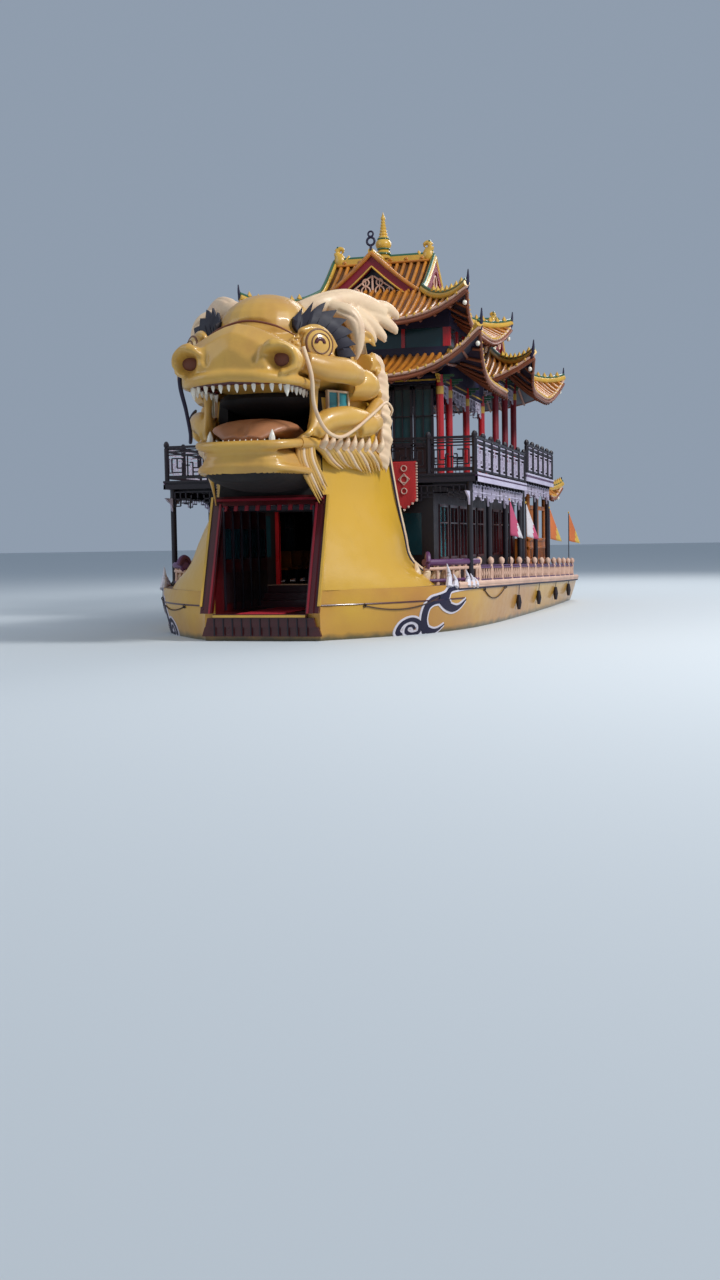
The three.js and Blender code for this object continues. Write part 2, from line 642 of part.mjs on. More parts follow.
// Neck and head
const neck = makeNeck();
const skull = makeSkull();
const jaw = seat(skin(JAW_SECTIONS.map((row) => oval(row, 14, 0.75))), neck, [0, -1, 0]);
add("neck", neck, COLOURS.hull, 0.45);
add("head", skull, COLOURS.head, 0.45);
add("lower_jaw", jaw, COLOURS.head, 0.45);

const leaning = skin([[-1600, 30, 1281], [-1520, 900, 3700]].map(([, a, z]) => {
  const half = z > 3000 ? 1520 : 1600;
  return [[-half, along(a - 140), z], [half, along(a - 140), z], [half, along(a + 60), z], [-half, along(a + 60), z]];
}));
const doorFrame = leaning.subtract(block([-PASSAGE_HALF, -400, 1000], [PASSAGE_HALF, 2000, PASSAGE_TOP]));
add("door_frame", seat(seat(doorFrame, neck, [0, -1, 0]), hull, UP), COLOURS.maroon, 0.5);

const upperPath = gumPath(1180, -1850, 300);
const lowerPath = gumPath(960, -1480, 250);
const upperRow = makeToothRow(upperPath, 6360, [230, 190, 210], true, 70);
const upperTeeth = seat(seat(upperRow, skull, DOWN), neck, [0, -1, 0]);
const lowerTeeth = seat(seat(makeToothRow(lowerPath, 5080, [170, 150], false, 60), jaw, UP), neck, [0, -1, 0]);
add("upper_teeth", upperTeeth, COLOURS.tooth, 0.4);
add("lower_teeth", lowerTeeth, COLOURS.tooth, 0.4);
const tongue = ball([0, -250, 5030], [720, 1050, 330]);
add("tongue", seat(seat(tongue, jaw, UP), neck, [0, -1, 0]), COLOURS.pink, 0.5);

both((side, name) => {
  const cheek = makeCheek(side, skull, neck, jaw);
  add(`cheek_${name}`, cheek, COLOURS.head, 0.45);
  const eyeball = sided(ball([1560, 60, 7440], [300, 360, 400], 14, 8), side);
  const eye = seat(seat(eyeball, skull, [side, -1, 0]), cheek, [side, 0, 1], [0, -1, 0], [0, 0, -1], [-side, 1, 0]);
  add(`eye_${name}`, eye, COLOURS.eye, 0.2);
  const brow = seat(seat(seat(sided(makeBrow(), side), skull, [side, 0, 1]), eye, [0, 1, 1]), cheek, UP);
  add(`brow_${name}`, brow, COLOURS.navy, 0.4);
  const antler = seat(seat(sided(makeAntler(), side), skull, [side, 0, 1]), brow, [0, 1, 1]);
  add(`antler_${name}`, antler, COLOURS.cream, 0.5);
  const beard = seat(seat(seat(sided(makeBeard(), side), neck, [side, -1, 0]), jaw, [side, 0, -1]),
    cheek, [side, 0, -1], [0, -1, 0], [0, 1, 0], [-side, 0, 0], [side, 1, 1], [-side, -1, 1]);
  add(`beard_${name}`, beard, COLOURS.cream, 0.5);
  const clearWhisker = seat(sided(makeWhisker(), side), skull, [side, -1, 0], [0, 1, 0], [0, 0, -1]);
  const whisker = seat(seat(clearWhisker, cheek, [side, -1, 0]), beard, [side, 0, 1]);
  add(`whisker_${name}`, whisker, COLOURS.cream, 0.5);
});
add("mane", makeMane(skull, neck), COLOURS.cream, 0.5);

// Saloon
const saloonWindows = [];
for (let a = 6100; a < 13400; a += 1500) {
  saloonWindows.push([[-4000, a, 2000], [4000, a + 1100, 3500]]);
}
const foreSaloon = hollowWalls(
  { half: SALOON_HALF, from: 5300, to: FORE_DECK.to, low: 1000, high: FORE_DECK.bottom - SEAT_GAP, wall: 90 },
  [...saloonWindows, [[-PASSAGE_HALF, 5200, 900], [PASSAGE_HALF, 5500, 3500]],
    [[-700, FORE_DECK.to - 200, 900], [700, FORE_DECK.to + 100, 3300]]],
);
add("saloon_fore", seat(foreSaloon, hull, UP), COLOURS.saloon, 0.6);
const aftSaloonWindows = [];
for (let a = 15200; a < 19500; a += 1600) {
  aftSaloonWindows.push([[-4000, a, 1950], [4000, a + 1100, 3500]]);
}
const aftSaloon = hollowWalls(
  { half: SALOON_HALF, from: AFT_DECK.from, to: 20200, low: 900, high: AFT_DECK.bottom - SEAT_GAP, wall: 90 },
  [...aftSaloonWindows, [[-700, AFT_DECK.from - 100, 800], [700, AFT_DECK.from + 200, 3300]],
    [[-700, 20000, 800], [700, 20300, 3200]]],
);
add("saloon_aft", seat(aftSaloon, hull, UP), COLOURS.saloon, 0.6);

// Upper decks and what carries them
function deckSlab({ from, to, half, bottom, top }) {
  return block([-half, from, bottom], [half, to, top]);
}
const foreDeck = deckSlab(FORE_DECK);
const aftDeck = deckSlab(AFT_DECK);
add("upper_deck_fore", foreDeck, COLOURS.white, 0.6);
add("upper_deck_aft", aftDeck, COLOURS.white, 0.6);

function colonnade(side, rows, underside, from, to) {
  const x = side * COLONNADE_X;
  const pieces = rows.map((a) => rod([x, a, 900], [x, a, underside], 85, 8));
  pieces.push(block([x - 45, from, underside - 260], [x + 45, to, underside]));
  return seat(join(pieces), hull, UP);
}
both((side, name) => {
  add(`colonnade_fore_${name}`, colonnade(side, [5080, 8150, 11220, 14250], FORE_DECK.bottom - SEAT_GAP,
    FORE_DECK.from + 60, FORE_DECK.to - 20), COLOURS.dark, 0.6);
  add(`colonnade_aft_${name}`, colonnade(side, [14900, 18150, 21400], AFT_DECK.bottom - SEAT_GAP,
    AFT_DECK.from + 60, AFT_DECK.to - 60), COLOURS.dark, 0.6);
});

const balconyStyle = { height: RAIL_HEIGHT, post: 70, rail: 34, spacing: 1500, bud: 90, levels: [0.12, 0.95] };
const balconyX = FORE_DECK.half - 90;
const foreBalcony = railRun([
  [balconyX, FORE_DECK.to - 120, FORE_DECK.top], [balconyX, FORE_DECK.from + 90, FORE_DECK.top],
  [-balconyX, FORE_DECK.from + 90, FORE_DECK.top], [-balconyX, FORE_DECK.to - 120, FORE_DECK.top],
], balconyStyle);
add("balcony_fore", seat(foreBalcony, foreDeck, UP), COLOURS.white, 0.6);
const aftBalcony = railRun([
  [balconyX, AFT_DECK.from + 500, AFT_DECK.top], [balconyX, AFT_DECK.to - 90, AFT_DECK.top],
  [-balconyX, AFT_DECK.to - 90, AFT_DECK.top], [-balconyX, AFT_DECK.from + 500, AFT_DECK.top],
], balconyStyle);
add("balcony_aft", seat(aftBalcony, aftDeck, UP), COLOURS.white, 0.6);

// Fore pavilion
const lowerInner = { half: 2900, from: 10400, to: 16400 };
const lowerShape = {
  eave: { half: 4380, from: 7860, to: 18900 }, inner: lowerInner, eaveZ: 7560, cornerZ: 8850, innerZ: 8420,
  thickness: 170, flare: 330, closed: false,
};
const lowerRoof = join([hipShell(lowerShape), ...cornerSpikes(lowerShape.eave, 8850, 560)])
  .subtract(block([-6000, 14700, 6000], [6000, 20000, 10500]));
add("roof_fore_lower", lowerRoof, COLOURS.tile, 0.5);

const foreColumns = columnFrame({
  half: PAVILION_HALF - 120, rows: [9100, 10480, 13400, 16320], foot: FORE_DECK.top, head: 7660, beam: 260,
  radius: 120,
});
const foreFrame = seat(seat(seat(foreColumns, lowerRoof, DOWN), foreDeck, UP), aftDeck, UP);
add("pavilion_fore_frame", foreFrame, COLOURS.red, 0.5);

const upperEave = { half: 3740, from: 9150, to: 17780 };
const upperInner = { half: 1750, from: 11600, to: 15300 };
const upperShape = {
  eave: upperEave, inner: upperInner, eaveZ: 9460, cornerZ: 10300, innerZ: 10650, thickness: 170, flare: 330,
  closed: true,
};
const upperRoof = join([
  hipShell(upperShape),
  ...hipTileRows(upperShape),
  ...cornerSpikes(upperEave, 10300, 520),
  gableTop(upperInner, 10650, 12000, 150),
]);
const lanternWalls = hollowWalls(
  {
    half: 2900 - SEAT_GAP, from: 10400 + SEAT_GAP, to: 16400 - SEAT_GAP, low: 7660 + SEAT_GAP, high: 10200,
    wall: 110,
  },
  [[[-2000, 10300, 8700], [2000, 10700, 9300]], [[-3000, 11500, 8700], [3000, 15300, 9300]]],
);
const lantern = seat(lanternWalls, upperRoof, DOWN);
add("lantern_wall", lantern, COLOURS.navy, 0.5);

// Front gable standing out of the upper roof
const gableHalf = 1750;
const gableApex = 12280;
const gableOuter = plateAcross([[-gableHalf, 10500], [0, gableApex], [gableHalf, 10500]], 11850, 1500);
const gableRecess = plateAcross([[-gableHalf + 420, 10500], [0, gableApex - 420], [gableHalf - 420, 10500]],
  11800, 260);
const frontGable = gableOuter.subtract(gableRecess);
const ridge = seat(makeRidge(1620, 13450, 11990, 1), upperRoof, UP);
const gableSeated = seat(seat(frontGable, upperRoof, UP), ridge, [0, -1, 0]);
add("roof_fore_upper", upperRoof, COLOURS.tile, 0.5);
add("front_gable", gableSeated, COLOURS.darkRed, 0.5);
add("ridge_fore", ridge, COLOURS.ridge, 0.5);
const finial = turned([0, 13450, 12180], [[0, 0], [260, 0], [200, 120], [250, 200], [170, 300], [260, 420],
  [270, 560],
  [190, 650], [150, 760], [170, 800], [130, 900], [150, 940], [100, 1040], [115, 1080], [60, 1230], [70, 1290],
  [25, 1360], [0, 1600]], 12);
add("finial", seat(seat(finial, ridge, UP), gableSeated, [0, 1, 1]), COLOURS.ridge, 0.4);

// Aft pavilion
const aftEave = { half: 4900, from: 15100, to: 23600 };
const aftInner = { half: 2950, from: 18000, to: 20700 };
const aftShape = {
  eave: aftEave, inner: aftInner, eaveZ: 7900, cornerZ: 8880, innerZ: 9350, thickness: 170, flare: 330,
  closed: true,
};
const aftRoof = join([
  hipShell(aftShape),
  ...hipTileRows(aftShape),
  ...cornerSpikes(aftEave, 8880, 520),
  gableTop(aftInner, 9350, 10640, 150),
]).subtract(block([-3100, 14000, 6000], [3100, 16700, 11000]));
const aftRoofSeated = largest(aftRoof);
add("roof_aft", aftRoofSeated, COLOURS.tile, 0.5);
const aftRidge = seat(makeRidge(2800, 19350, 10630, 0.7), aftRoofSeated, UP);
add("ridge_aft", aftRidge, COLOURS.ridge, 0.5);
const aftColumns = columnFrame({
  half: AFT_PAVILION_HALF - 120, rows: [17000, 19100, 21200], foot: AFT_DECK.top, head: 8600, beam: 260,
  radius: 120,
});
const aftFrame = seat(seat(aftColumns, aftRoofSeated, DOWN), aftDeck, UP);
add("pavilion_aft_frame", aftFrame, COLOURS.darkRed, 0.5);

// Stern
const sternRoof = join([
  hipShell({
    eave: { half: 4800, from: 20900, to: 23500 }, inner: { half: 4300, from: 21640, to: 22300 }, eaveZ: 4150,
    cornerZ: 4600, innerZ: 4480, thickness: 110, flare: 160, closed: true,
  }),
  ...cornerSpikes({ half: 4800, from: 20900, to: 23500 }, 4600, 380),
]).subtract(block([-6000, 20000, 3000], [6000, 21640, 6000]));
add("stern_roof", seat(sternRoof, aftDeck, [0, 1, 0]), COLOURS.tile, 0.5);

const screen = join([
  hollowWalls({ half: 4300, from: 17600, to: 22500, low: 900, high: 2500, wall: 120 },
    [[[-3900, 17000, 800], [3900, 18000, 2600]]]),
  ...[17900, 20200, 22380].flatMap((a) => [-1, 1].map((s) => rod([s * 4240, a, 900], [s * 4240, a, 4600], 90, 6))),
]);
add("stern_screen", seat(seat(seat(screen, hull, UP), aftDeck, DOWN), sternRoof, DOWN), COLOURS.wood, 0.6);

const tail = join([
  bar([[0, 22600, 300], [0, 23300, 900], [0, 24200, 1700], [0, 24500, 2700], [0, 24000, 3500], [0, 24300, 4200]],
    420, 130, 8, 10),
  bar([[0, 24150, 3600], [0, 24700, 4100], [0, 25200, 4100]], 170, 20, 6, 4),
  bar([[0, 24450, 2800], [0, 25000, 3200], [0, 25500, 3000]], 200, 20, 8, 4),
  bar([[0, 24150, 3800], [0, 23950, 4500], [0, 24200, 5000]], 150, 20, 8, 4),
]);
add("tail", seat(tail, hull, [0, 1, 1]), COLOURS.hull, 0.45);

// Deck rails on the gunwale
const deckRailStyle = {
  height: DECK_RAIL_HEIGHT - 120, post: 75, rail: 40, spacing: 1300, bud: 130, levels: [0.72],
};
function edgePoint(aft, side, inset = 170) {
  const { half, height } = deckEdge(aft);
  return [side * (half - inset), aft, height];
}
both((side, name) => {
  const run = [5700, 8000, 12000, 17000, 20000, 22600].map((a) => edgePoint(a, side));
  const rail = railRun([...run, [side * 700, 22600, 950]], deckRailStyle);
  add(`deck_rail_${name}`, seat(rail, hull, UP), COLOURS.rail, 0.6);
  const bowRail = railRun([[side * 3550, 3500, 1280], edgePoint(4100, side, 420), edgePoint(4800, side, 300)], {
    ...deckRailStyle, spacing: 1200, bud: 90, post: 60,
  }).add(sided(ball([3620, 3650, 2000], [110, 170, 190], 10, 6), side));
  add(`bow_rail_${name}`, seat(seat(bowRail, hull, UP), neck, [side, 1, 0]), COLOURS.purple, 0.5);
});
// Banners
both((side, name) => {
  const corners = [[2280, 4760], [3000, 4760], [3000, 3650], [2640, 3380], [2280, 3650]];
  const outline = corners.map(([x, z]) => [side * x, z]);
  add(`banner_${name}`, plateAcross(side > 0 ? outline : outline.reverse(), FORE_DECK.from - 30 - SEAT_GAP, 30),
    COLOURS.carpet, 0.9);
});

// Rudders and propellers
both((side, name) => {
  const { x, aft, stock, chord } = RUDDER;
  const blade = skin([-1330, -620].map((z) => [[side * x, along(aft - 0.3 * chord), z],
    [side * x + 45, along(aft - 0.05 * chord), z], [side * x + 6, along(aft + 0.7 * chord), z],
    [side * x - 6, along(aft + 0.7 * chord), z], [side * x - 45, along(aft - 0.05 * chord), z]]));
  const stem = rod([side * x, aft, -700], [side * x, aft, 0], stock, SHAFT_SIDES);
  add(`rudder_${name}`, blade.add(stem), COLOURS.bronze, 0.5, 0.6);
  const p = PROPELLER;
  const blades = [0, 1, 2, 3].map((k) => {
    const geometry = new THREE.BoxGeometry(190, 26, p.radius - 60);
    geometry.translate(0, 0, (p.radius + 60) / 2);
    geometry.rotateZ(side * 0.55);
    geometry.rotateY((k * Math.PI) / 2 + 0.3);
    geometry.translate(side * p.x, along(p.aft), p.z);
    return solid(geometry);
  });
  const hub = rod([side * p.x, p.aft - 110, p.z], [side * p.x, p.aft + 150, p.z], 85, 12);
  const shaft = rod([side * p.x, 20150, p.z], [side * p.x, p.aft, p.z], p.shaft, SHAFT_SIDES);
  add(`propeller_${name}`, join([hub, shaft, ...blades]), COLOURS.bronze, 0.4, 0.8);
});

export default group;
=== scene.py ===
"""The looks of a passenger boat with a dragon's head and neck at its bow and two tiled pavilions."""
import math
import random

import bmesh
import bpy
import numpy as np
from mathutils import Matrix, Vector


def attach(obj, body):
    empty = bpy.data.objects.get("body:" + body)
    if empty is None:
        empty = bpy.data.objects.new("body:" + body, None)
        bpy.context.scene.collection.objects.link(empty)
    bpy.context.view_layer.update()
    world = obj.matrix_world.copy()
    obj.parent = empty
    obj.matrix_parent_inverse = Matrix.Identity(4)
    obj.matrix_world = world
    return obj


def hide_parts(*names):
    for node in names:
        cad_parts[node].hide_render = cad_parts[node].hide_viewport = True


bl_info = {
    "name": "Dragon boat",
    "version": (1, 0, 0),
    "blender": (4, 5, 0),
    "location": "View3D > Sidebar > Dragon boat",
    "description": "Builds the dressed dragon boat on its packed frame",
    "category": "Object",
}

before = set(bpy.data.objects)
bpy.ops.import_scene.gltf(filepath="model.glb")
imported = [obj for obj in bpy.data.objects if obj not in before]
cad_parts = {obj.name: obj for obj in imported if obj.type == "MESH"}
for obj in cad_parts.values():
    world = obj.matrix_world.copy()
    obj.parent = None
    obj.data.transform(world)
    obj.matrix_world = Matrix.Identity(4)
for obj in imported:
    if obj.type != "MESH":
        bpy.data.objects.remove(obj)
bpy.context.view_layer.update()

# Places are given as (x, aft, z) in metres: port +X, aft counted from the bow sill, Z 0 at the waterline.
SILL_Y = -11.2
HULL_LENGTH = 22.8
PASSAGE_HALF = 1.27
PASSAGE_TOP = 3.5
NECK_FOOT, NECK_TOP = 1.2803, 6.25
FORE_DECK = {"from": 4.95, "to": 14.35, "half": 4.75, "bottom": 4.15, "top": 4.40}
AFT_DECK = {"from": 14.45, "to": 21.6, "half": 4.75, "bottom": 4.50, "top": 4.78}
SALOON_HALF = 3.4
COLONNADE_X = 4.5
FORE_POSTS, AFT_POSTS = (5.08, 8.15, 11.22, 14.25), (14.9, 18.15, 21.4)
SIDES = ((1, "port"), (-1, "starboard"))
UP, AFTWARD = Vector((0, 0, 1)), Vector((0, 1, 0))
UPRIGHT, FULL_SIZE = (0.0, 0.0, 0.0), (1.0, 1.0, 1.0)
SHAFT_X, SHAFT_Z = 1.6, -1.02
KNUCKLE_Z = 0.9
RIDGE_AFT = 13.45
RAIL_END = 22.6
EYE = (1.56, 0.06, 7.44)
EYE_FACING = Vector((0.72, -0.69, 0.06)).normalized()

# aft, deck half beam, deck height, knuckle half beam, waterline half beam, keel depth
HULL_SECTIONS = [
    (0.0, 1.48, 1.28, 1.54, 1.56, -0.25), (0.9, 2.38, 1.28, 2.48, 2.33, -0.48),
    (1.9, 3.23, 1.28, 3.33, 3.10, -0.70), (3.0, 3.95, 1.28, 4.01, 3.76, -0.88),
    (4.2, 4.48, 1.28, 4.46, 4.24, -1.00), (5.6, 4.78, 1.27, 4.76, 4.56, -1.08),
    (8.0, 5.00, 1.23, 4.98, 4.82, -1.10), (12.0, 5.22, 1.16, 5.17, 5.02, -1.10),
    (17.0, 5.42, 1.06, 5.40, 5.18, -0.95), (20.0, 5.48, 1.00, 5.46, 5.22, -0.62),
    (22.8, 5.50, 0.95, 5.49, 5.22, -0.20),
]
# height, then port outline as (half width, aft) from the door frame round to the back
NECK_LEVELS = [
    (1.28, [(1.48, 0.03), (2.33, 0.90), (3.15, 1.90), (3.70, 3.00), (3.74, 4.19)]),
    (1.97, [(1.47, 0.25), (2.13, 1.00), (2.70, 1.90), (3.03, 3.00), (2.99, 4.19)]),
    (2.70, [(1.45, 0.52), (1.90, 1.15), (2.40, 2.00), (2.78, 3.10), (2.80, 4.18)]),
    (3.65, [(1.43, 0.86), (1.62, 1.30), (1.96, 2.05), (2.35, 3.10), (2.62, 4.10)]),
    (4.70, [(1.40, 1.00), (1.60, 1.40), (1.95, 2.10), (2.30, 2.95), (2.48, 3.95)]),
    (5.60, [(1.40, 0.90), (1.65, 1.35), (2.00, 2.05), (2.30, 2.85), (2.40, 3.80)]),
    (6.25, [(1.33, 0.90), (1.62, 1.35), (1.93, 2.00), (2.14, 2.80), (2.15, 3.70)]),
]
# aft, half width, lowest, highest
SKULL_SECTIONS = [
    (-1.95, 0.70, 6.60, 7.20), (-1.78, 1.18, 6.45, 7.60), (-1.35, 1.48, 6.40, 7.88),
    (-0.85, 1.52, 6.41, 7.90),
    (-0.40, 1.44, 6.42, 7.84), (0.00, 1.53, 6.36, 7.95), (0.45, 1.70, 6.30, 8.25), (1.00, 1.83, 6.26, 8.50),
    (1.70, 1.95, 6.26, 8.60), (2.40, 2.00, 6.26, 8.35), (3.10, 1.80, 6.26, 7.85), (3.60, 1.30, 6.26, 7.15),
]
JAW_SECTIONS = [
    (-1.50, 0.66, 4.22, 4.84), (-1.33, 0.98, 4.02, 4.95), (-0.70, 1.20, 3.92, 5.00), (0.00, 1.28, 3.86, 5.03),
    (0.85, 1.37, 3.82, 5.10), (1.25, 1.40, 3.80, 5.10),
]
# Hipped roofs: eave and inner rectangles as (half, from, to), heights of mid eave, corner and inner edge.
ROOFS = {
    "fore_lower": {"eave": (4.38, 7.86, 18.90), "inner": (2.90, 10.40, 16.40), "heights": (7.56, 8.85, 8.42),
                   "thick": 0.17, "flare": 0.33, "spike": 0.56},
    "fore_upper": {"eave": (3.74, 9.15, 17.78), "inner": (1.75, 11.60, 15.30),
                   "heights": (9.46, 10.30, 10.65),
                   "thick": 0.17, "flare": 0.33, "spike": 0.52},
    "aft": {"eave": (4.90, 15.10, 23.60), "inner": (2.95, 18.00, 20.70), "heights": (7.90, 8.88, 9.35),
            "thick": 0.17, "flare": 0.33, "spike": 0.52},
    "stern": {"eave": (4.80, 20.90, 23.50), "inner": (4.30, 21.64, 22.30), "heights": (4.15, 4.60, 4.48),
              "thick": 0.11, "flare": 0.16, "spike": 0.38},
}


def linear(code):
    """A hex colour as linear RGB."""
    parts = [int(code[i:i + 2], 16) / 255 for i in (0, 2, 4)]
    return tuple(c / 12.92 if c <= 0.04045 else ((c + 0.055) / 1.055) ** 2.4 for c in parts)


def colour_property(name, description, code):
    return bpy.props.FloatVectorProperty(name=name, description=description, subtype="COLOR", size=3,
                                         min=0, max=1, default=linear(code))


def length_property(name, description, default):
    return bpy.props.FloatProperty(name=name, description=description, default=default, min=0.001,
                                   unit="LENGTH")


class DragonBoatColours(bpy.types.PropertyGroup):
    """Paint and cloth colours."""
    hull: colour_property("Hull yellow", "Paint of the hull and the neck", "cfa030")
    head: colour_property("Head gold", "Paint of the head and jaw", "cfa24a")
    cream: colour_property("Cream", "Paint of the mane, beard and antlers", "e2c6a2")
    navy: colour_property("Navy", "Paint of the brows, scroll and roof spikes", "140c34")
    maroon: colour_property("Maroon", "Paint of the door surround", "4c0a0e")
    red: colour_property("Column red", "Paint of the pavilion columns", "b4141c")
    crimson: colour_property("Crimson", "Paint of the gable boards", "8a1424")
    tile: colour_property("Tile", "Glaze of the roof tiles", "c87f2a")
    ridge: colour_property("Ridge", "Glaze of the ridges and finial", "d6a83e")
    white: colour_property("Balcony white", "Paint of the balcony lattice and fascia", "cfc6da")
    dark: colour_property("Dark wood", "Paint of the posts and soffits", "1d1420")
    rail: colour_property("Rail beige", "Paint of the deck rails and rubbing strake", "dcb49c")
    carved: colour_property("Carved screen", "Paint of the carved stern screen", "b8641c")
    carpet: colour_property("Carpet", "Pile of the boarding carpet", "c01028")


class DragonBoatSizes(bpy.types.PropertyGroup):
    """Sizes of what repeats."""
    tile_pitch: length_property("Tile pitch", "Distance between the tile rows of a roof", 0.24)
    tile_radius: length_property("Tile radius", "Radius of a half-round cover tile", 0.062)
    rafter_pitch: length_property("Rafter pitch", "Distance between the rafters under the eaves", 0.42)
    lotus_pitch: length_property("Lotus post pitch", "Distance between the posts of the deck rails", 1.3)
    whisker: length_property("Whisker radius", "Radius of a whisker at its root", 0.06)
    sculpt_grain: length_property("Sculpt grain", "Mesh size of the sculpted head and tail", 0.04)


def sizes():
    return bpy.context.scene.dragon_boat_sizes


# Shapes: each is (vertices, faces), closed; Piece.object turns the faces out
def at(x, aft, z):
    return Vector((x, aft + SILL_Y, z))


def mirrored(shape):
    verts, faces = shape
    return [Vector((-v[0], v[1], v[2])) for v in verts], [tuple(reversed(f)) for f in faces]


def sided(shape, side):
    return shape if side > 0 else mirrored(shape)


def catmull(a, b, c, d, t):
    """A Catmull-Rom blend from b to c, of numbers or of vectors."""
    return 0.5 * (2 * b + (c - a) * t + (2 * a - 5 * b + 4 * c - d) * t * t
                  + (3 * b - 3 * c + d - a) * t ** 3)


def partway(values, share):
    """The value at a share of the way along evenly spread values."""
    t = share * (len(values) - 1)
    i = min(int(t), len(values) - 2)
    return values[i] + (values[i + 1] - values[i]) * (t - i)


def shares(count):
    """Even shares from 0 to 1, both included."""
    return [k / count for k in range(count + 1)]


def circle(count):
    """Angles evenly round a full turn."""
    return [2 * math.pi * k / count for k in range(count)]


def smooth_line(points, steps):
    """Points on a Catmull-Rom line through the given points, evenly along each span."""
    pts = [Vector(p) for p in points]
    pts = [2 * pts[0] - pts[1]] + pts + [2 * pts[-1] - pts[-2]]
    line = []
    spans = len(pts) - 3
    for k in range(steps + 1):
        t = k / steps * spans
        i = min(int(t), spans - 1)
        line.append(catmull(*pts[i:i + 4], t - i))
    return line


def rings_shape(rings, closed=False):
    """A skin over rings of points, capped at both ends, or closed on itself."""
    count = len(rings[0])
    verts = [Vector(p) for ring in rings for p in ring]
    faces = []
    last = len(rings) if closed else len(rings) - 1
    for r in range(last):
        for i in range(count):
            j = (i + 1) % count
            s = (r + 1) % len(rings)
            faces.append((r * count + i, r * count + j, s * count + j, s * count + i))
    if not closed:
        faces.append(tuple(reversed(range(count))))
        faces.append(tuple(range((len(rings) - 1) * count, len(rings) * count)))
    return verts, faces


def limb(points, radii, sides=10, steps=12, wide=1.0):
    """A round or oval bar along a smooth line; radii are spread along it, wide stretches it sideways."""
    line = smooth_line([at(*p) for p in points], steps)
    rings = []
    for k, centre in enumerate(line):
        ahead = (line[min(k + 1, steps)] - line[max(k - 1, 0)]).normalized()
        across = ahead.cross(UP)
        if across.length < 1e-3:
            across = ahead.cross(Vector((1, 0, 0)))
        across.normalize()
        over = across.cross(ahead)
        r = partway(radii, k / steps)
        rings.append([centre + across * (r * wide * math.cos(a)) + over * (r * math.sin(a))
                      for a in circle(sides)])
    return rings_shape(rings)


def ellipsoid(centre, radii, turn=None, around=24, down=14):
    c = at(*centre)
    rings = []
    for i in range(1, down):
        p = math.pi * i / down
        ring = []
        for k in range(around):
            a = 2 * math.pi * k / around
            v = Vector((radii[0] * math.sin(p) * math.cos(a), radii[1] * math.sin(p) * math.sin(a),
                        radii[2] * math.cos(p)))
            ring.append(c + (turn @ v if turn else v))
        rings.append(ring)
    return rings_shape(rings)


def torus(centre, ring, tube, facing, around=40, sides=12, sweep=(0, 2 * math.pi)):
    c = at(*centre)
    turn = facing.to_track_quat("Z", "Y").to_matrix()
    full = sweep[1] - sweep[0] > 6.28
    count = around if full else around + 1
    rings = []
    for k in range(count):
        a = sweep[0] + (sweep[1] - sweep[0]) * k / around
        out = Vector((math.cos(a), math.sin(a), 0))
        rings.append([c + turn @ (out * (ring + tube * math.cos(b)) + UP * (tube * math.sin(b)))
                      for b in circle(sides)])
    return rings_shape(rings, closed=full)


BOX_FACES = [(0, 2, 3, 1), (4, 5, 7, 6), (0, 1, 5, 4), (2, 6, 7, 3), (0, 4, 6, 2), (1, 3, 7, 5)]


def block(low, high):
    (x0, a0, z0), (x1, a1, z1) = low, high
    verts = [at(x, a, z) for z in (z0, z1) for a in (a0, a1) for x in (x0, x1)]
    return verts, BOX_FACES


def lathe(centre, profile, sides=16):
    """Turned about an upright axis; rows are (radius, height), and a zero radius closes an end."""
    c = at(*centre)
    rings = [[c + Vector((max(r, 1e-4) * math.cos(a), max(r, 1e-4) * math.sin(a), h)) for a in circle(sides)]
             for r, h in profile]
    return rings_shape(rings)


def slab(outline, thickness):
    """An outline of points in one plane, given a thickness (a vector)."""
    n = len(outline)
    verts = [Vector(p) for p in outline] + [Vector(p) + thickness for p in outline]
    faces = [tuple(reversed(range(n))), tuple(range(n, 2 * n))]
    faces += [(i, (i + 1) % n, n + (i + 1) % n, n + i) for i in range(n)]
    return verts, faces


def super_oval(aft, half, low, high, sides=40, squareness=0.8, peak=0.0):
    """A rounded section across the boat; peak lifts its middle into a soft ridge."""
    middle = (low + high) / 2
    ring = []
    for k in range(sides):
        a = 2 * math.pi * k / sides
        c, s = math.cos(a), math.sin(a)
        x = half * math.copysign(abs(c) ** squareness, c)
        z = middle + (high - low) / 2 * math.copysign(abs(s) ** squareness, s)
        if s > 0:
            z -= peak * (abs(x) / half) ** 1.5 * s
        ring.append(at(x, aft, z))
    return ring


def repaint(made, material, where):
    """Gives the faces that pass a test one more material."""
    made.data.materials.append(material)
    for polygon in made.data.polygons:
        if where(polygon):
            polygon.material_index = len(made.data.materials) - 1


def linked(name, data):
    """An object of a mesh, curve, light or camera, in the scene."""
    made = bpy.data.objects.new(name, data)
    bpy.context.scene.collection.objects.link(made)
    return made


def shade_smooth(made):
    made.data.polygons.foreach_set("use_smooth", [True] * len(made.data.polygons))


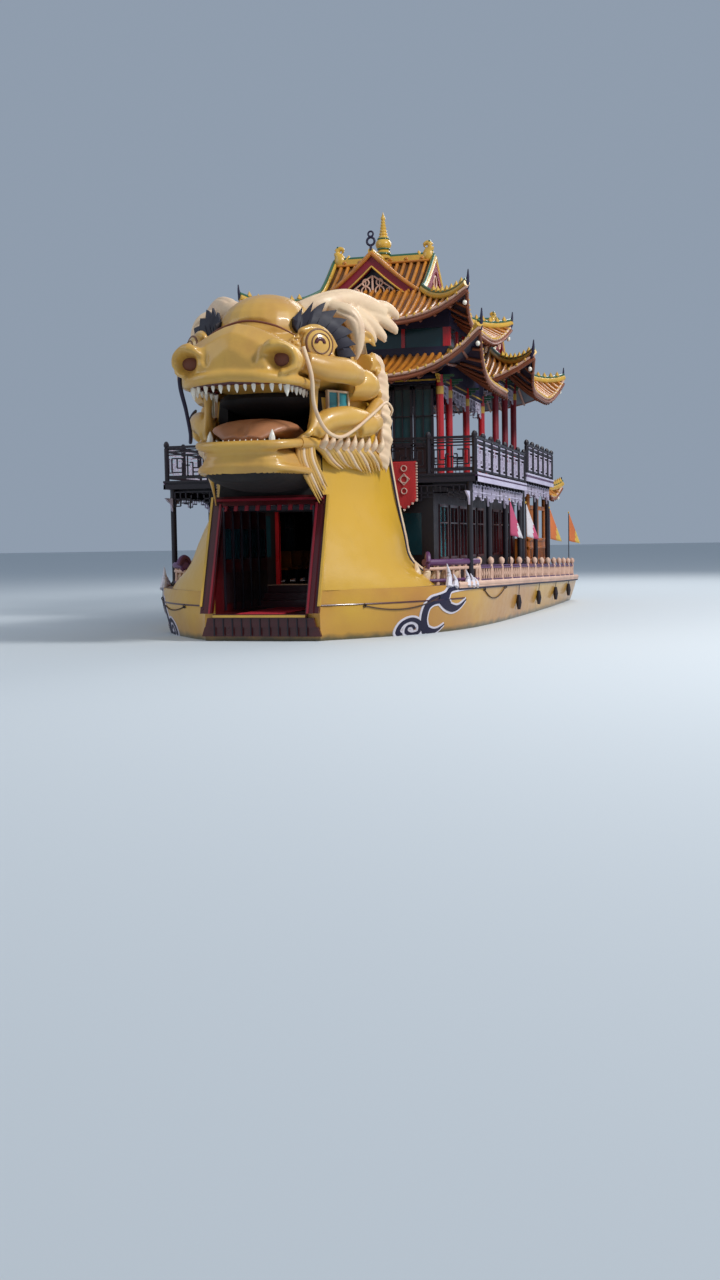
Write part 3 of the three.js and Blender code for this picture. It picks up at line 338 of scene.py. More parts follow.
class Piece:
    """Shapes gathered into one object with its own materials."""

    def __init__(self, name):
        self.name = name
        self.verts, self.faces, self.slots, self.flats = [], [], [], []
        self.materials = []

    def add(self, shape, material, smooth=True):
        verts, faces = shape
        if material not in self.materials:
            self.materials.append(material)
        base = len(self.verts)
        self.verts += verts
        self.faces += [tuple(base + i for i in f) for f in faces]
        self.slots += [self.materials.index(material)] * len(faces)
        self.flats += [not smooth] * len(faces)
        return self

    def box(self, low, high, material):
        return self.add(block(low, high), material, False)

    def object(self, crease=38):
        mesh = bpy.data.meshes.new(self.name)
        mesh.from_pydata(self.verts, [], self.faces)
        for m in self.materials:
            mesh.materials.append(m)
        mesh.polygons.foreach_set("material_index", self.slots)
        mesh.polygons.foreach_set("use_smooth", [not f for f in self.flats])
        turned = bmesh.new()
        turned.from_mesh(mesh)
        bmesh.ops.recalc_face_normals(turned, faces=turned.faces)
        turned.to_mesh(mesh)
        turned.free()
        mesh.set_sharp_from_angle(angle=math.radians(crease))
        return linked(self.name, mesh)

    def done(self, replaces=(), body="boat", crease=38):
        return settle(self.object(crease), replaces, body)


def settle(made, replaces=(), body="boat"):
    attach(made, body)
    if replaces:
        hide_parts(*replaces)
    return made


def evaluated(made):
    """Applies an object's modifiers to its mesh."""
    bpy.context.view_layer.update()
    mesh = bpy.data.meshes.new_from_object(made.evaluated_get(bpy.context.evaluated_depsgraph_get()))
    made.modifiers.clear()
    made.data = mesh
    return made


def cut(made, shapes):
    """Takes boxes out of a closed mesh."""
    for k, shape in enumerate(shapes):
        tool = Piece(f"cutter_{k}").add(shape, made.data.materials[0], False).object()
        modifier = made.modifiers.new("cut", "BOOLEAN")
        modifier.operation = "DIFFERENCE"
        modifier.solver = "EXACT"
        modifier.object = tool
        evaluated(made)
        bpy.data.objects.remove(tool)
    return made


def sculpt(name, shapes, material, grain=None, rounds=6):
    """Melts overlapping closed shapes into one smooth skin."""
    piece = Piece(name)
    for shape in shapes:
        piece.add(shape, material)
    made = piece.object()
    remesh = made.modifiers.new("melt", "REMESH")
    remesh.mode = "VOXEL"
    remesh.voxel_size = (grain or sizes().sculpt_grain) * 1
    soften = made.modifiers.new("soften", "SMOOTH")
    soften.factor = 0.5
    soften.iterations = rounds
    evaluated(made)
    made.data.materials.clear()
    made.data.materials.append(material)
    shade_smooth(made)
    return made


def both_sides(lines, sides=(1, -1)):
    """Lines to carve, each (points, width, depth) of the port side, on the sides asked for."""
    return [([(side * x, a, z) for x, a, z in points], width, depth)
            for side in sides for points, width, depth in lines]


def vertex_places(mesh):
    co = np.zeros(len(mesh.vertices) * 3)
    mesh.vertices.foreach_get("co", co)
    return co.reshape(-1, 3)


def place_vertices(mesh, co):
    mesh.vertices.foreach_set("co", co.astype(np.float32).ravel())
    mesh.update()


def carve(made, lines):
    """Presses grooves or raises ridges along lines: each is (points, width, depth), depth inward."""
    mesh = made.data
    count = len(mesh.vertices)
    co = vertex_places(mesh)
    normal = np.zeros(count * 3, np.float32)
    mesh.vertex_normals.foreach_get("vector", normal)
    normal = normal.reshape(-1, 3)
    move = np.zeros(count)
    for points, width, depth in lines:
        path = np.array([list(p) for p in smooth_line([at(*p) for p in points], 8 * len(points))])
        best = np.full(count, 1e9)
        for a, b in zip(path[:-1], path[1:]):
            span = b - a
            t = np.clip((co - a) @ span / max(span @ span, 1e-9), 0, 1)
            best = np.minimum(best, np.linalg.norm(co - a - t[:, None] * span, axis=1))
        near = np.clip(1 - best / width, 0, 1)
        move -= depth * near * near * (3 - 2 * near)
    co += normal * move[:, None]
    place_vertices(mesh, co)
    return made


def dent(made, holes):
    """Pushes the skin in round points: each is (point, radius, push vector)."""
    mesh = made.data
    co = vertex_places(mesh)
    for point, radius, push in holes:
        away = np.linalg.norm(co - np.array(at(*point)), axis=1)
        near = np.clip(1 - away / radius, 0, 1)
        co += np.array(push)[None, :] * (near * near * (3 - 2 * near))[:, None]
    place_vertices(mesh, co)
    return made


# Materials
FINISHES = {}


def finish(name, colour, deep=None, rough=0.45, metal=0.0, mottle=0.45, scale=0.7, streaks=0.25, grain=18.0,
           relief=0.12, coat=0.0, dirt=(0.10, 0.07, 0.04), waterline=False, courses=None, planks=None,
           weave=None):
    """A paint, glaze, wood or cloth: mottling, running streaks, fine relief, and what the finish asks for."""
    if name in FINISHES:
        return FINISHES[name]
    colour = tuple(colour)
    deep = tuple(deep) if deep else tuple(c * 0.62 for c in colour)
    material = bpy.data.materials.new(name)
    material.use_nodes = True
    nodes, links = material.node_tree.nodes, material.node_tree.links
    shader = nodes["Principled BSDF"]
    place = nodes.new("ShaderNodeTexCoord")

    def node(kind, **values):
        made = nodes.new(kind)
        for key, value in values.items():
            if key in made.inputs:
                made.inputs[key].default_value = value
            else:
                setattr(made, key, value)
        return made

    def mapped(size):
        mapping = node("ShaderNodeMapping")
        mapping.inputs["Scale"].default_value = size
        links.new(place.outputs["Object"], mapping.inputs["Vector"])
        return mapping.outputs["Vector"]

    def noise(size, detail=5.0, rough_detail=0.55):
        made = node("ShaderNodeTexNoise", Scale=1.0, Detail=detail, Roughness=rough_detail)
        links.new(mapped(size), made.inputs["Vector"])
        return made.outputs["Fac"]

    def ramp(value, low, high):
        made = node("ShaderNodeMapRange")
        made.inputs["From Min"].default_value = low
        made.inputs["From Max"].default_value = high
        links.new(value, made.inputs["Value"])
        return made.outputs["Result"]

    def times(value, factor):
        made = node("ShaderNodeMath", operation="MULTIPLY")
        links.new(value, made.inputs[0])
        if isinstance(factor, float):
            made.inputs[1].default_value = factor
        else:
            links.new(factor, made.inputs[1])
        return made.outputs[0]

    def blend(factor, under, over):
        made = node("ShaderNodeMix", data_type="RGBA")
        links.new(factor, made.inputs[0])
        for socket, value in ((made.inputs[6], under), (made.inputs[7], over)):
            if isinstance(value, tuple):
                socket.default_value = (*value[:3], 1)
            else:
                links.new(value, socket)
        return made.outputs[2]

    def bands(direction, size, source=None, **more):
        made = node("ShaderNodeTexWave", wave_type="BANDS", bands_direction=direction, Scale=size,
                    Distortion=0.0,
                    **more)
        links.new(source or mapped((1, 1, 1)), made.inputs["Vector"])
        return made.outputs["Fac"]

    shade = blend(times(ramp(noise((scale,) * 3), 0.38, 0.72), float(mottle)), colour, deep)
    heights = []
    if planks:
        size, direction = planks
        boards = bands(direction, size)
        shade = blend(times(ramp(boards, 0.06, 0.0), 0.75), shade, tuple(c * 0.25 for c in deep))
        heights.append((ramp(boards, 0.0, 0.07), 0.5))
    if courses:
        tiles = bands("Y", courses, place.outputs["UV"], wave_profile="SAW")
        shade = blend(times(ramp(tiles, 0.16, 0.0), 0.7), shade, tuple(c * 0.3 for c in deep))
        heights.append((tiles, 0.5))
    if weave:
        heights += [(bands(direction, weave), 0.3) for direction in ("X", "Z")]
    if streaks:
        run = ramp(noise((3.1, 3.1, 0.35), 4.0), 0.56, 0.78)
        spots = ramp(noise((1.3, 1.3, 1.3), 6.0, 0.7), 0.5, 0.75)
        shade = blend(times(times(run, spots), float(streaks)), shade, dirt)
    if waterline:
        apart = node("ShaderNodeSeparateXYZ")
        links.new(place.outputs["Object"], apart.inputs[0])
        wobble = node("ShaderNodeMath", operation="MULTIPLY_ADD")
        links.new(noise((2.4, 2.4, 2.4)), wobble.inputs[0])
        wobble.inputs[1].default_value = -0.22
        links.new(apart.outputs["Z"], wobble.inputs[2])
        # Brown darkening from about z 0.75 down to the water: painted shade under the knuckle; then a dark
        # green band at the water: a water stain.
        shade = blend(times(ramp(wobble.outputs[0], 0.75, -0.1), 0.45), shade, (0.42, 0.17, 0.05))
        shade = blend(times(ramp(wobble.outputs[0], 0.06, -0.08), 0.85), shade, (0.045, 0.06, 0.035))
    links.new(shade, shader.inputs["Base Color"])
    rough_value = node("ShaderNodeMapRange")
    rough_value.inputs["To Min"].default_value = max(0.03, rough - 0.1)
    rough_value.inputs["To Max"].default_value = min(1.0, rough + 0.16)
    links.new(noise((4.0,) * 3), rough_value.inputs["Value"])
    links.new(rough_value.outputs["Result"], shader.inputs["Roughness"])
    shader.inputs["Metallic"].default_value = metal
    shader.inputs["Coat Weight"].default_value = coat
    bump = node("ShaderNodeBump", Strength=relief, Distance=0.02)
    links.new(noise((grain,) * 3, 3.0), bump.inputs["Height"])
    last = bump
    for height, strength in heights:
        ridge = node("ShaderNodeBump", Strength=strength, Distance=0.03)
        links.new(height, ridge.inputs["Height"])
        links.new(last.outputs["Normal"], ridge.inputs["Normal"])
        last = ridge
    links.new(last.outputs["Normal"], shader.inputs["Normal"])
    FINISHES[name] = material
    return material


def colours():
    return bpy.context.scene.dragon_boat_colours


def painted(name, colour, **values):
    """A function that gives one finish, of a linear colour or of one that a colour property holds."""
    def made():
        return finish(name, getattr(colours(), colour) if isinstance(colour, str) else colour, **values)
    return made


hull_paint = painted("hull_paint", "hull", deep=(0.42, 0.17, 0.045), rough=0.34, mottle=0.75, scale=0.30,
                     streaks=0.45, coat=0.25, relief=0.10, waterline=True)
neck_paint = painted("neck_paint", "hull", deep=(0.62, 0.36, 0.07), rough=0.34, mottle=0.45, scale=0.45,
                     streaks=0.25, coat=0.25, relief=0.10)
head_paint = painted("head_paint", "head", deep=(0.42, 0.19, 0.05), rough=0.36, mottle=0.6, scale=0.8,
                     streaks=0.3, coat=0.25, relief=0.14)
cream_paint = painted("cream_paint", "cream", deep=(0.62, 0.38, 0.26), rough=0.42, mottle=0.6, scale=1.4,
                      streaks=0.35)
navy_paint = painted("navy_paint", "navy", deep=(0.006, 0.005, 0.015), rough=0.55, streaks=0.1)
brow_black = painted("brow_black", (0.010, 0.008, 0.020), deep=(0.004, 0.003, 0.008), rough=0.6, streaks=0.1)
maroon_paint = painted("maroon_paint", "maroon", deep=(0.03, 0.004, 0.006), rough=0.3, streaks=0.3, coat=0.3)
# Near-black: painted shade in the mouth, in the throat and under the jaw; on the neck's front above the door
# it is dark paint with painted shade.
throat_shade = painted("throat_paint", (0.006, 0.003, 0.003), rough=0.7, streaks=0.2)
red_paint = painted("column_red", "red", deep=(0.22, 0.012, 0.015), rough=0.28, coat=0.4, streaks=0.2)
crimson_paint = painted("gable_crimson", "crimson", deep=(0.10, 0.01, 0.02), rough=0.4, streaks=0.3)
tile_glaze = painted("tile_glaze", "tile", deep=(0.24, 0.09, 0.03), rough=0.3, mottle=0.8, scale=2.2,
                     streaks=0.5, grain=9.0, relief=0.2, coat=0.3)
ridge_glaze = painted("ridge_glaze", "ridge", deep=(0.40, 0.24, 0.05), rough=0.3, mottle=0.6, scale=2.0,
                      streaks=0.35, coat=0.3)
green_glaze = painted("green_glaze", (0.03, 0.12, 0.06), deep=(0.01, 0.04, 0.02), rough=0.3, coat=0.3)
white_paint = painted("balcony_white", "white", deep=(0.34, 0.30, 0.44), rough=0.45, streaks=0.45)
# Dark wood of the posts, frames and joists; also painted shade on the fore fronts of the balcony, deck
# fascia, valance and pavilion fret.
dark_wood = painted("dark_wood", "dark", deep=(0.004, 0.003, 0.006), rough=0.42, streaks=0.15)
rail_paint = painted("rail_paint", "rail", deep=(0.42, 0.22, 0.16), rough=0.45, streaks=0.4, scale=1.6)
purple_paint = painted("rail_purple", (0.13, 0.045, 0.13), deep=(0.06, 0.015, 0.05), rough=0.4, streaks=0.3)
carved_paint = painted("carved_orange", "carved", deep=(0.22, 0.07, 0.015), rough=0.45, mottle=0.7, scale=2.4,
                       streaks=0.4, relief=0.25)
fascia_paint = painted("eave_board", (0.26, 0.075, 0.03), deep=(0.09, 0.02, 0.012), rough=0.45, mottle=0.7,
                       scale=1.1, streaks=0.4)
soffit_paint = painted("soffit_navy", (0.012, 0.013, 0.035), deep=(0.006, 0.006, 0.012), rough=0.5,
                       streaks=0.1)
deck_planks = painted("deck_planks", (0.30, 0.17, 0.10), deep=(0.15, 0.08, 0.05), rough=0.6, mottle=0.7,
                      scale=1.7, planks=(2.2, "X"), grain=30.0)
saloon_wood = painted("saloon_wood", (0.022, 0.008, 0.010), deep=(0.008, 0.004, 0.006), rough=0.35,
                      planks=(1.6, "Y"))
window_glass = painted("window_glass", (0.05, 0.33, 0.36), deep=(0.02, 0.16, 0.22), rough=0.07, mottle=0.7,
                       scale=0.9, streaks=0.12, relief=0.02, coat=0.6)
dark_glass = painted("dark_glass", (0.010, 0.045, 0.055), deep=(0.004, 0.015, 0.02), rough=0.12, streaks=0.1)
pink_gum = painted("mouth_pink", (0.44, 0.19, 0.09), deep=(0.20, 0.075, 0.03), rough=0.35, scale=1.3)
tooth_enamel = painted("tooth_enamel", (0.82, 0.78, 0.68), deep=(0.55, 0.42, 0.26), rough=0.22, streaks=0.15,
                       coat=0.4)
bronze = painted("worn_bronze", (0.45, 0.30, 0.12), deep=(0.10, 0.16, 0.10), rough=0.35, metal=0.9,
                 mottle=0.7, scale=3.0)
rope_fibre = painted("rope_fibre", (0.09, 0.05, 0.03), deep=(0.03, 0.02, 0.012), rough=0.8, grain=60.0,
                     relief=0.5)


# The tile colour darkened to 0.62 for the pans between the cover tiles: painted shade between the rows.
def shaded_pan_glaze():
    return finish("pan_tiles", tuple(c * 0.62 for c in colours().tile), deep=(0.13, 0.045, 0.02), rough=0.4,
                  mottle=0.8, scale=1.8, streaks=0.5, courses=1.6)


# Trees for what repeats
TREES = {}


def new_tree(name, inputs):
    tree = bpy.data.node_groups.new(name, "GeometryNodeTree")
    tree.interface.new_socket("Geometry", in_out="INPUT", socket_type="NodeSocketGeometry")
    for label, kind in inputs:
        tree.interface.new_socket(label, in_out="INPUT", socket_type=kind)
    tree.interface.new_socket("Geometry", in_out="OUTPUT", socket_type="NodeSocketGeometry")
    return tree, tree.nodes.new("NodeGroupInput"), tree.nodes.new("NodeGroupOutput")


def chain(tree, *steps):
    for (source, out), (target, into) in zip(steps[::2], steps[1::2]):
        tree.links.new(source.outputs[out], target.inputs[into])


def bars_tree():
    """Round bars along paths, with radius and sides as inputs."""
    if "bars" not in TREES:
        tree, start, end = new_tree("Bars along paths", [
            ("Radius", "NodeSocketFloat"), ("Sides", "NodeSocketInt"), ("Finish", "NodeSocketMaterial")])
        curve = tree.nodes.new("GeometryNodeMeshToCurve")
        ring = tree.nodes.new("GeometryNodeCurvePrimitiveCircle")
        sweep = tree.nodes.new("GeometryNodeCurveToMesh")
        sweep.inputs["Fill Caps"].default_value = True
        real = tree.nodes.new("GeometryNodeRealizeInstances")
        paint = tree.nodes.new("GeometryNodeSetMaterial")
        chain(tree, (start, "Geometry"), (curve, "Mesh"), (curve, "Curve"), (sweep, "Curve"),
              (start, "Radius"), (ring, "Radius"), (start, "Sides"), (ring, "Resolution"),
              (ring, "Curve"), (sweep, "Profile Curve"), (sweep, "Mesh"), (real, "Geometry"),
              (real, "Geometry"), (paint, "Geometry"), (start, "Finish"), (paint, "Material"),
              (paint, "Geometry"), (end, "Geometry"))
        TREES["bars"] = tree
    return TREES["bars"]


def copies_tree():
    """Copies of a piece on points, turned and sized by the points' own attributes."""
    if "copies" not in TREES:
        tree, start, end = new_tree("Copies on points", [
            ("Copied piece", "NodeSocketObject"), ("Finish", "NodeSocketMaterial")])
        info = tree.nodes.new("GeometryNodeObjectInfo")
        spread = tree.nodes.new("GeometryNodeInstanceOnPoints")
        turn, size = (tree.nodes.new("GeometryNodeInputNamedAttribute") for _ in range(2))
        for attribute, label in ((turn, "turn"), (size, "size")):
            attribute.data_type = "FLOAT_VECTOR"
            attribute.inputs["Name"].default_value = label
        real = tree.nodes.new("GeometryNodeRealizeInstances")
        paint = tree.nodes.new("GeometryNodeSetMaterial")
        chain(tree, (start, "Geometry"), (spread, "Points"), (start, "Copied piece"), (info, "Object"),
              (info, "Geometry"), (spread, "Instance"), (turn, "Attribute"), (spread, "Rotation"),
              (size, "Attribute"), (spread, "Scale"), (spread, "Instances"), (real, "Geometry"),
              (real, "Geometry"), (paint, "Geometry"), (start, "Finish"), (paint, "Material"),
              (paint, "Geometry"), (end, "Geometry"))
        TREES["copies"] = tree
    return TREES["copies"]


def grow(made, tree, values):
    modifier = made.modifiers.new("grow", "NODES")
    modifier.node_group = tree
    for item in tree.interface.items_tree:
        if item.in_out == "INPUT" and item.name in values:
            modifier[item.identifier] = values[item.name]
    evaluated(made)
    shade_smooth(made)
    made.data.set_sharp_from_angle(angle=math.radians(40))
    return made


def bars(name, paths, radius, material, sides=6):
    """One object of bars along lists of points."""
    verts, edges = [], []
    for path in paths:
        edges += [(len(verts) + i, len(verts) + i + 1) for i in range(len(path) - 1)]
        verts += path
    mesh = bpy.data.meshes.new(name)
    mesh.from_pydata(verts, edges, [])
    return grow(linked(name, mesh), bars_tree(), {"Radius": radius, "Sides": sides, "Finish": material})


def copies(name, source, places, material):
    """One object of copies of a shape: places are (point, turn, size)."""
    pattern = Piece(name + "_pattern").add(source, material).object()
    mesh = bpy.data.meshes.new(name)
    mesh.from_pydata([p for p, _, _ in places], [], [])
    for label, index in (("turn", 1), ("size", 2)):
        values = mesh.attributes.new(label, "FLOAT_VECTOR", "POINT")
        values.data.foreach_set("vector", [c for place in places for c in place[index]])
    made = grow(linked(name, mesh), copies_tree(), {"Copied piece": pattern, "Finish": material})
    bpy.data.objects.remove(pattern)
    return made


UNIT_BLOCK = ([Vector((x, y, z)) for z in (-0.5, 0.5) for y in (-0.5, 0.5) for x in (-0.5, 0.5)],
              BOX_FACES)


def slats(name, segments, material):
    """Square bars between pairs of points: segments are (start, end, width, depth)."""
    places = []
    for a, b, width, depth in segments:
        a, b = Vector(a), Vector(b)
        turn = (b - a).to_track_quat("X", "Z").to_euler()
        places.append(((a + b) / 2, tuple(turn), ((b - a).length, width, depth)))
    return copies(name, UNIT_BLOCK, places, material)


def merge(name, objects):
    """Joins finished objects into one."""
    joined = bmesh.new()
    materials = []
    for made in objects:
        for m in made.data.materials:
            if m not in materials:
                materials.append(m)
    result = bpy.data.meshes.new(name)
    for made in objects:
        index = [materials.index(m) for m in made.data.materials]
        for polygon in made.data.polygons:
            polygon.material_index = index[polygon.material_index] if index else 0
        joined.from_mesh(made.data)
        bpy.data.objects.remove(made)
    joined.to_mesh(result)
    joined.free()
    for m in materials:
        result.materials.append(m)
    return linked(name, result)


# Hull and neck
def hull_at(aft):
    """Deck half beam, height, knuckle, waterline and keel at a distance aft, on smooth curves."""
    places = [row[0] for row in HULL_SECTIONS]
    i = max(0, min(len(places) - 2, sum(1 for p in places if p <= aft) - 1))
    rows = [HULL_SECTIONS[max(0, min(len(places) - 1, i + k))] for k in (-1, 0, 1, 2)]
    t = (aft - places[i]) / (places[i + 1] - places[i])
    return [catmull(*(row[c] for row in rows), t) for c in range(1, 6)]


def hull_side_x(aft, z):
    """Half beam of the hull's side at a height above the waterline."""
    deck, height, knuckle, water, _ = hull_at(aft)
    mark = min(KNUCKLE_Z, height - 0.04)
    if z > mark:
        return knuckle + (deck - knuckle) * (z - mark) / (height - mark)
    return water + (knuckle - water) * z / mark + 0.02 * math.sin(math.pi * max(0, z) / mark)


def shaft(x, start, end, sides):
    """A length of a propeller shaft: start and end are (radius, aft)."""
    return rings_shape([[at(x + r * math.cos(t), a, SHAFT_Z + r * math.sin(t)) for t in circle(sides)]
                        for r, a in (start, end)])


def make_hull():
    afts = [HULL_LENGTH * (k / 72) ** 1.25 for k in range(73)]
    rings = []
    for aft in afts:
        deck, height, knuckle, water, keel = hull_at(aft)
        mark = min(KNUCKLE_Z, height - 0.04)
        half = [(deck, height), (knuckle, mark)]
        half += [(hull_side_x(aft, z), z) for z in (0.75 * mark, 0.5 * mark, 0.25 * mark, 0)]
        half += [(0.985 * water, 0.25 * keel), (0.93 * water, 0.55 * keel), (0.82 * water, 0.8 * keel),
                 (0.66 * water, 0.92 * keel), (0.35 * water, 0.98 * keel), (0.08 * water, keel)]
        ring = half + [(-x, z) for x, z in reversed(half)]
        rings.append([at(x, aft, z) for x, z in ring])
    shell = Piece("hull_shell").add(rings_shape(rings), hull_paint()).object(crease=30)
    floors = [(-0.3, 3.4, 0.70), (3.4, 3.8, 0.89), (3.8, 4.21, 1.08)]
    cut(shell, [block((-PASSAGE_HALF, a, z), (PASSAGE_HALF, b, 1.6)) for a, b, z in floors])
    repaint(shell, deck_planks(), lambda f: f.normal.z > 0.9 and f.center.z > 0.9)
    repaint(shell, maroon_paint(),
            lambda f: abs(f.center.x) < PASSAGE_HALF + 0.01 and f.center.z > 0.69 and f.center.y < SILL_Y
            + 4.22)
    shell.data.set_sharp_from_angle(angle=math.radians(30))
    under = Piece("underwater_gear")
    under.add(slab([at(-0.09, a, z) for a, z in ((6, -1.0), (15.5, -1.0), (15.5, -1.35), (7.2, -1.35))],
                   Vector((0.18, 0, 0))), hull_paint(), False)
    for side in (1, -1):
        x = SHAFT_X * side
        skeg = [at(x - 0.08, a, z) for a, z in ((14.5, -0.6), (20.5, -0.3), (20.43, -1.17), (16.5, -1.17))]
        under.add(slab(skeg, Vector((0.16, 0, 0))), hull_paint(), False)
        profile = [(0.045, 18.4), (0.11, 18.6), (0.13, 18.9), (0.13, 20.3), (0.10, 20.45), (0.0435, 20.45)]
        for (r0, a0), (r1, a1) in zip(profile, profile[1:]):
            under.add(shaft(x, (r0, a0), (r1, a1 + 0.001), 20), bronze())
    gear = under.object()
    settle(merge("hull", [shell, gear]), ("hull",))


def gunwale_line(side, lift, out, start=3.9):
    line = []
    for k in range(61):
        aft = start + (HULL_LENGTH - start) * k / 60
        deck, height = hull_at(aft)[:2]
        line.append(at(side * (deck + out), aft, height + lift))
    return line


def make_gunwales():
    """Cap, dark line and wale along the deck's edge, and the seam of the bow's knuckle."""
    for side, name in SIDES:
        knuckle = []
        for k in range(13):
            aft = 0.05 + 4.2 * k / 12
            knuckle.append(at(side * (hull_side_x(aft, KNUCKLE_Z) + 0.004), aft, KNUCKLE_Z))
        lines = (("cap", gunwale_line(side, 0.0, 0.0), 0.075, rail_paint(), 10),
                 ("line", gunwale_line(side, -0.115, 0.005), 0.042, navy_paint(), 8),
                 ("wale", gunwale_line(side, -0.075, 0.02), 0.035, rail_paint(), 8),
                 ("seam", knuckle, 0.022, maroon_paint(), 6))
        made = merge(f"gunwale_{name}", [bars(label, [line], *rest) for label, line, *rest in lines])
        settle(made, (f"gunwale_{name}",))


def neck_outline(z):
    """Port outline of the neck at a height, as (half width, aft) pairs."""
    rows = NECK_LEVELS
    i = max(0, min(len(rows) - 2, sum(1 for r in rows if r[0] <= z) - 1))
    t = (z - rows[i][0]) / (rows[i + 1][0] - rows[i][0])
    near = [rows[max(0, min(len(rows) - 1, i + k))][1] for k in (-1, 0, 1, 2)]
    outline = [[catmull(*(row[p][c] for row in near), t) for c in range(2)] for p in range(5)]
    line = smooth_line([Vector((x, a, 0)) for x, a in outline], 16)
    return [(p.x, p.y) for p in line]


def make_neck():
    rings = []
    for k in range(29):
        z = NECK_FOOT + (NECK_TOP - NECK_FOOT) * k / 28
        line = neck_outline(z)
        rings.append([at(x, a, z) for x, a in line] + [at(-x, a, z) for x, a in reversed(line)])
    neck = Piece("neck_shell").add(rings_shape(rings), neck_paint()).object(crease=50)
    half, low, back = 1.13, 5.06, 2.6
    cut(neck, [block((-PASSAGE_HALF, -0.3, 1.0), (PASSAGE_HALF, 4.5, PASSAGE_TOP)),
               block((-half, -0.2, low), (half, back, 6.4))])

    def passage(face):
        return abs(face.center.x) < PASSAGE_HALF + 0.01 and face.center.z < PASSAGE_TOP + 0.01

    def throat(face):
        c = face.center
        front = abs(c.x) < 1.42 and abs(face.normal.y) > 0.5 and c.y < SILL_Y + 1.4
        return front or (abs(c.x) < half + 0.01 and c.z > low - 0.01 and c.y < SILL_Y + back + 0.01)

    repaint(neck, maroon_paint(), passage)
    # The throat's walls and the neck's front under the jaw get the near-black: painted shade, with dark paint
    # on the front.
    repaint(neck, throat_shade(), lambda face: throat(face) and not passage(face))
    neck.data.set_sharp_from_angle(angle=math.radians(45))
    trim = Piece("neck_trim")
    for side in (1, -1):
        edge, inner = [], []
        for k in range(15):
            z = 1.3 + 4.2 * k / 14
            x, a = neck_outline(z)[-1]
            edge.append((side * (x - 0.02), a + 0.02, z))
            inner.append((side * (x + 0.02), a - 0.13, z))
        trim.add(limb(edge, [0.085, 0.07], 8, 28), cream_paint())
        trim.add(limb(inner, [0.03, 0.03], 6, 28), navy_paint())
        # The window between the cheek rolls
        a, z = 1.42, 6.14
        x = next(px for px, pa in neck_outline(z) if pa >= a) + 0.01
        add_window(trim, (side * x, a, z), 0.66, 0.50, side, math.atan2(0.62, 1.0))
    settle(merge("neck", [neck, trim.object()]), ("neck",))
    lining = Piece("passage_lining")
    for side in (1, -1):
        for k in range(5):
            a = 0.75 + 0.68 * k
            lining.box((side * 1.262, a, 0.95), (side * 1.235, a + 0.56, 1.75), saloon_wood())
            lining.box((side * 1.262, a + 0.08, 2.1), (side * 1.24, a + 0.48, 2.9), dark_glass())
            lining.box((side * 1.264, a - 0.09, 0.75), (side * 1.215, a - 0.03, 3.46), dark_wood())
    for k in range(4):
        a = 1.15 + 0.85 * k
        lining.box((-1.26, a, 3.38), (1.26, a + 0.09, 3.495), dark_wood())
        lining.box((-0.28, a + 0.3, 3.44), (0.28, a + 0.55, 3.495), tooth_enamel())
    lining.done()


def add_window(piece, centre, wide, tall, side, turn):
    """A framed window with one mullion, standing on a flank that turns outwards by an angle."""
    x, a, z = centre
    along = Vector((side * math.sin(turn), math.cos(turn), 0))
    out = Vector((side * math.cos(turn), -math.sin(turn), 0))
    c = at(x, a, z)

    def panel(u0, u1, v0, v1, depth, lift):
        corner = [c + along * u + UP * v + out * lift for u, v in ((u0, v0), (u1, v0), (u1, v1), (u0, v1))]
        return slab(corner, out * depth)

    w, h, f = wide / 2, tall / 2, 0.055
    piece.add(panel(-w, w, -h, h, 0.04, -0.03), window_glass(), False)
    for u0, u1, v0, v1 in ((-w - f, w + f, h, h + f), (-w - f, w + f, -h - f, -h), (-w - f, -w, -h, h),
                           (w, w + f, -h, h), (-0.02, 0.02, -h, h)):
        piece.add(panel(u0, u1, v0, v1, 0.09, -0.03), cream_paint(), False)


